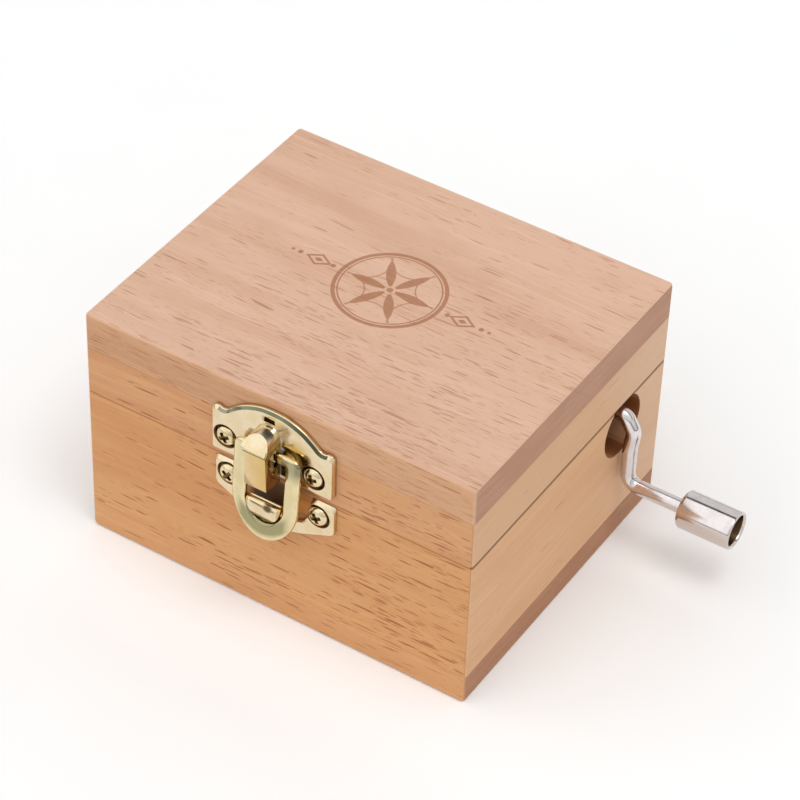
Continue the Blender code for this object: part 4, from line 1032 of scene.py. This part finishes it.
def crank_knob():
    x0, x1, r = 43.0, 51.7, 2.95
    shoulder = [(r - 0.62 + 0.62 * math.sin(a), x0 + 0.62 - 0.62 * math.cos(a))
                for a in (math.pi / 2 * i / 8 for i in range(9))]
    lip = [(r, x1 - 0.42), (r - 0.015, x1 - 0.25), (r - 0.06, x1 - 0.12), (r - 0.13, x1 - 0.04),
           (r - 0.22, x1), (r - 0.36, x1), (r - 0.46, x1 - 0.05), (r - 0.54, x1 - 0.16),
           (2.35, x1 - 0.34)]
    bore = [(2.35, x0 + 2.42), (2.27, x0 + 2.30), (1.45, x0 + 2.30), (1.2, x0 + 2.12), (1.2, x0 + 0.10),
            (1.30, x0)]
    v, f = turned([(1.30, x0)] + shoulder + lip + bore[:-1], 72,
                  lambda a, b, t: (t, CRANK_Y + a, PIN_Z + b))
    o = build("crank_knob_piece", v, f, (nickel, bore_mat), 0, smooth=42)
    for p in o.data.polygons:
        c = p.center
        rad = math.hypot(c.y / MM - CRANK_Y, c.z / MM - PIN_Z)
        if rad < 2.37 and c.x / MM > x0 + 0.2:
            p.material_index = 1
    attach(o, "knob")
    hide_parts("crank_knob")


bore_mat = metal("knob_bore", (118, 98, 72), (84, 66, 46), rough=0.30, spots=0.5,
                 brushed=0.4, along="x", crevice_shade=(30, 24, 16), reach=4.0)
crank_wire()
crank_knob()


# ---------------------------------------------------------------------------
# floor, light and camera
# ---------------------------------------------------------------------------
def floor():
    me = bpy.data.meshes.new("studio_floor")
    bm = bmesh.new()
    bmesh.ops.create_grid(bm, x_segments=24, y_segments=24, size=1.6)
    bm.to_mesh(me)
    bm.free()
    o = bpy.data.objects.new("studio_floor", me)
    bpy.context.scene.collection.objects.link(o)
    o.location.z = -0.0001
    g = Graph("floor_paper")
    x, y, z = g.place()
    n = g.noise(g.vec(x, y, z), 0.05, 3.0, 0.5)
    col = g.mix(lin(251, 252, 253), lin(248, 249, 250), n)
    g.set(Base_Color=col, Roughness=0.85)
    g.bsdf.inputs["Specular IOR Level"].default_value = 0.1
    g.bsdf.inputs["Emission Color"].default_value = (1.0, 1.0, 1.0, 1.0)
    g.bsdf.inputs["Emission Strength"].default_value = 0.035
    me.materials.append(g.mat)
    return o


def world():
    """A bright tent: white in front and overhead, greyer behind, with a thin dark joint
    across the ceiling and a thin dark line where the tent meets the table."""
    w = bpy.data.worlds.new("studio")
    bpy.context.scene.world = w
    w.use_nodes = True
    g = Graph.__new__(Graph)
    g.tree = t = w.node_tree
    t.nodes.clear()
    out = g.node("ShaderNodeOutputWorld")
    bg = g.node("ShaderNodeBackground")
    co = g.node("ShaderNodeTexCoord")
    x, y, z = g.split(co.outputs["Generated"])
    s = y - z * 0.36                       # above 0 behind the joint
    level = s.smooth(-0.03, 0.03, FRONT_LEVEL, BACK_LEVEL)
    # the camera's side of the room is darker
    cam = (x * 0.62 - y * 0.62 + z * 0.1).smooth(0.40, 0.85, 1.0, CAM_SIDE)
    level = level * cam
    joint = s.abs().smooth(0.15, 0.07) * z.smooth(0.15, 0.35)
    level = level * (1.0 - joint * 0.97)
    low = z.smooth(0.03, 0.13)
    level = level * (low * 0.88 + 0.12)
    under = z.lt(-0.001)
    level = level * (1.0 - under) + under * 0.85
    g.put(bg.inputs["Color"], g.mix((0.0, 0.0, 0.0, 1), (1.0, 0.995, 0.985, 1), 1.0))
    g.put(bg.inputs["Strength"], level)
    t.links.new(bg.outputs[0], out.inputs[0])


FRONT_LEVEL, BACK_LEVEL, CAM_SIDE = 1.22, 0.76, 0.62


def area(name, at, size, power, to=(0, 0, 0.02), color=(1, 1, 1)):
    li = bpy.data.lights.new(name, "AREA")
    li.shape = "RECTANGLE"
    li.size, li.size_y = size
    li.energy = power
    li.color = color
    o = bpy.data.objects.new(name, li)
    bpy.context.scene.collection.objects.link(o)
    o.location = at
    o.rotation_euler = (Vector(to) - Vector(at)).to_track_quat("-Z", "Y").to_euler()
    return o


def camera():
    az, el, roll = (math.radians(a) for a in (31.38505, 41.30805, 2.27081))
    back = Vector((math.sin(az) * math.cos(el), -math.cos(az) * math.cos(el), math.sin(el)))
    ahead = -back
    r = ahead.cross(Vector((0, 0, 1))).normalized()
    u = r.cross(ahead)
    x = r * math.cos(roll) + u * math.sin(roll)
    y = u * math.cos(roll) - r * math.sin(roll)
    m = Matrix((x, y, back)).transposed().to_4x4()
    m.translation = (0.183586, -0.295047, 0.326442)
    cam = bpy.data.cameras.new("camera")
    cam.lens = 144.83
    cam.sensor_width = 36
    cam.clip_start = 0.01
    o = bpy.data.objects.new("camera", cam)
    bpy.context.scene.collection.objects.link(o)
    o.matrix_world = m
    bpy.context.scene.camera = o


floor()
world()
area("key_softbox", (0.30, -0.10, 0.80), (0.30, 0.30), 1.2)
camera()

scene = bpy.context.scene
scene.view_settings.view_transform = "Standard"
scene.view_settings.look = "None"
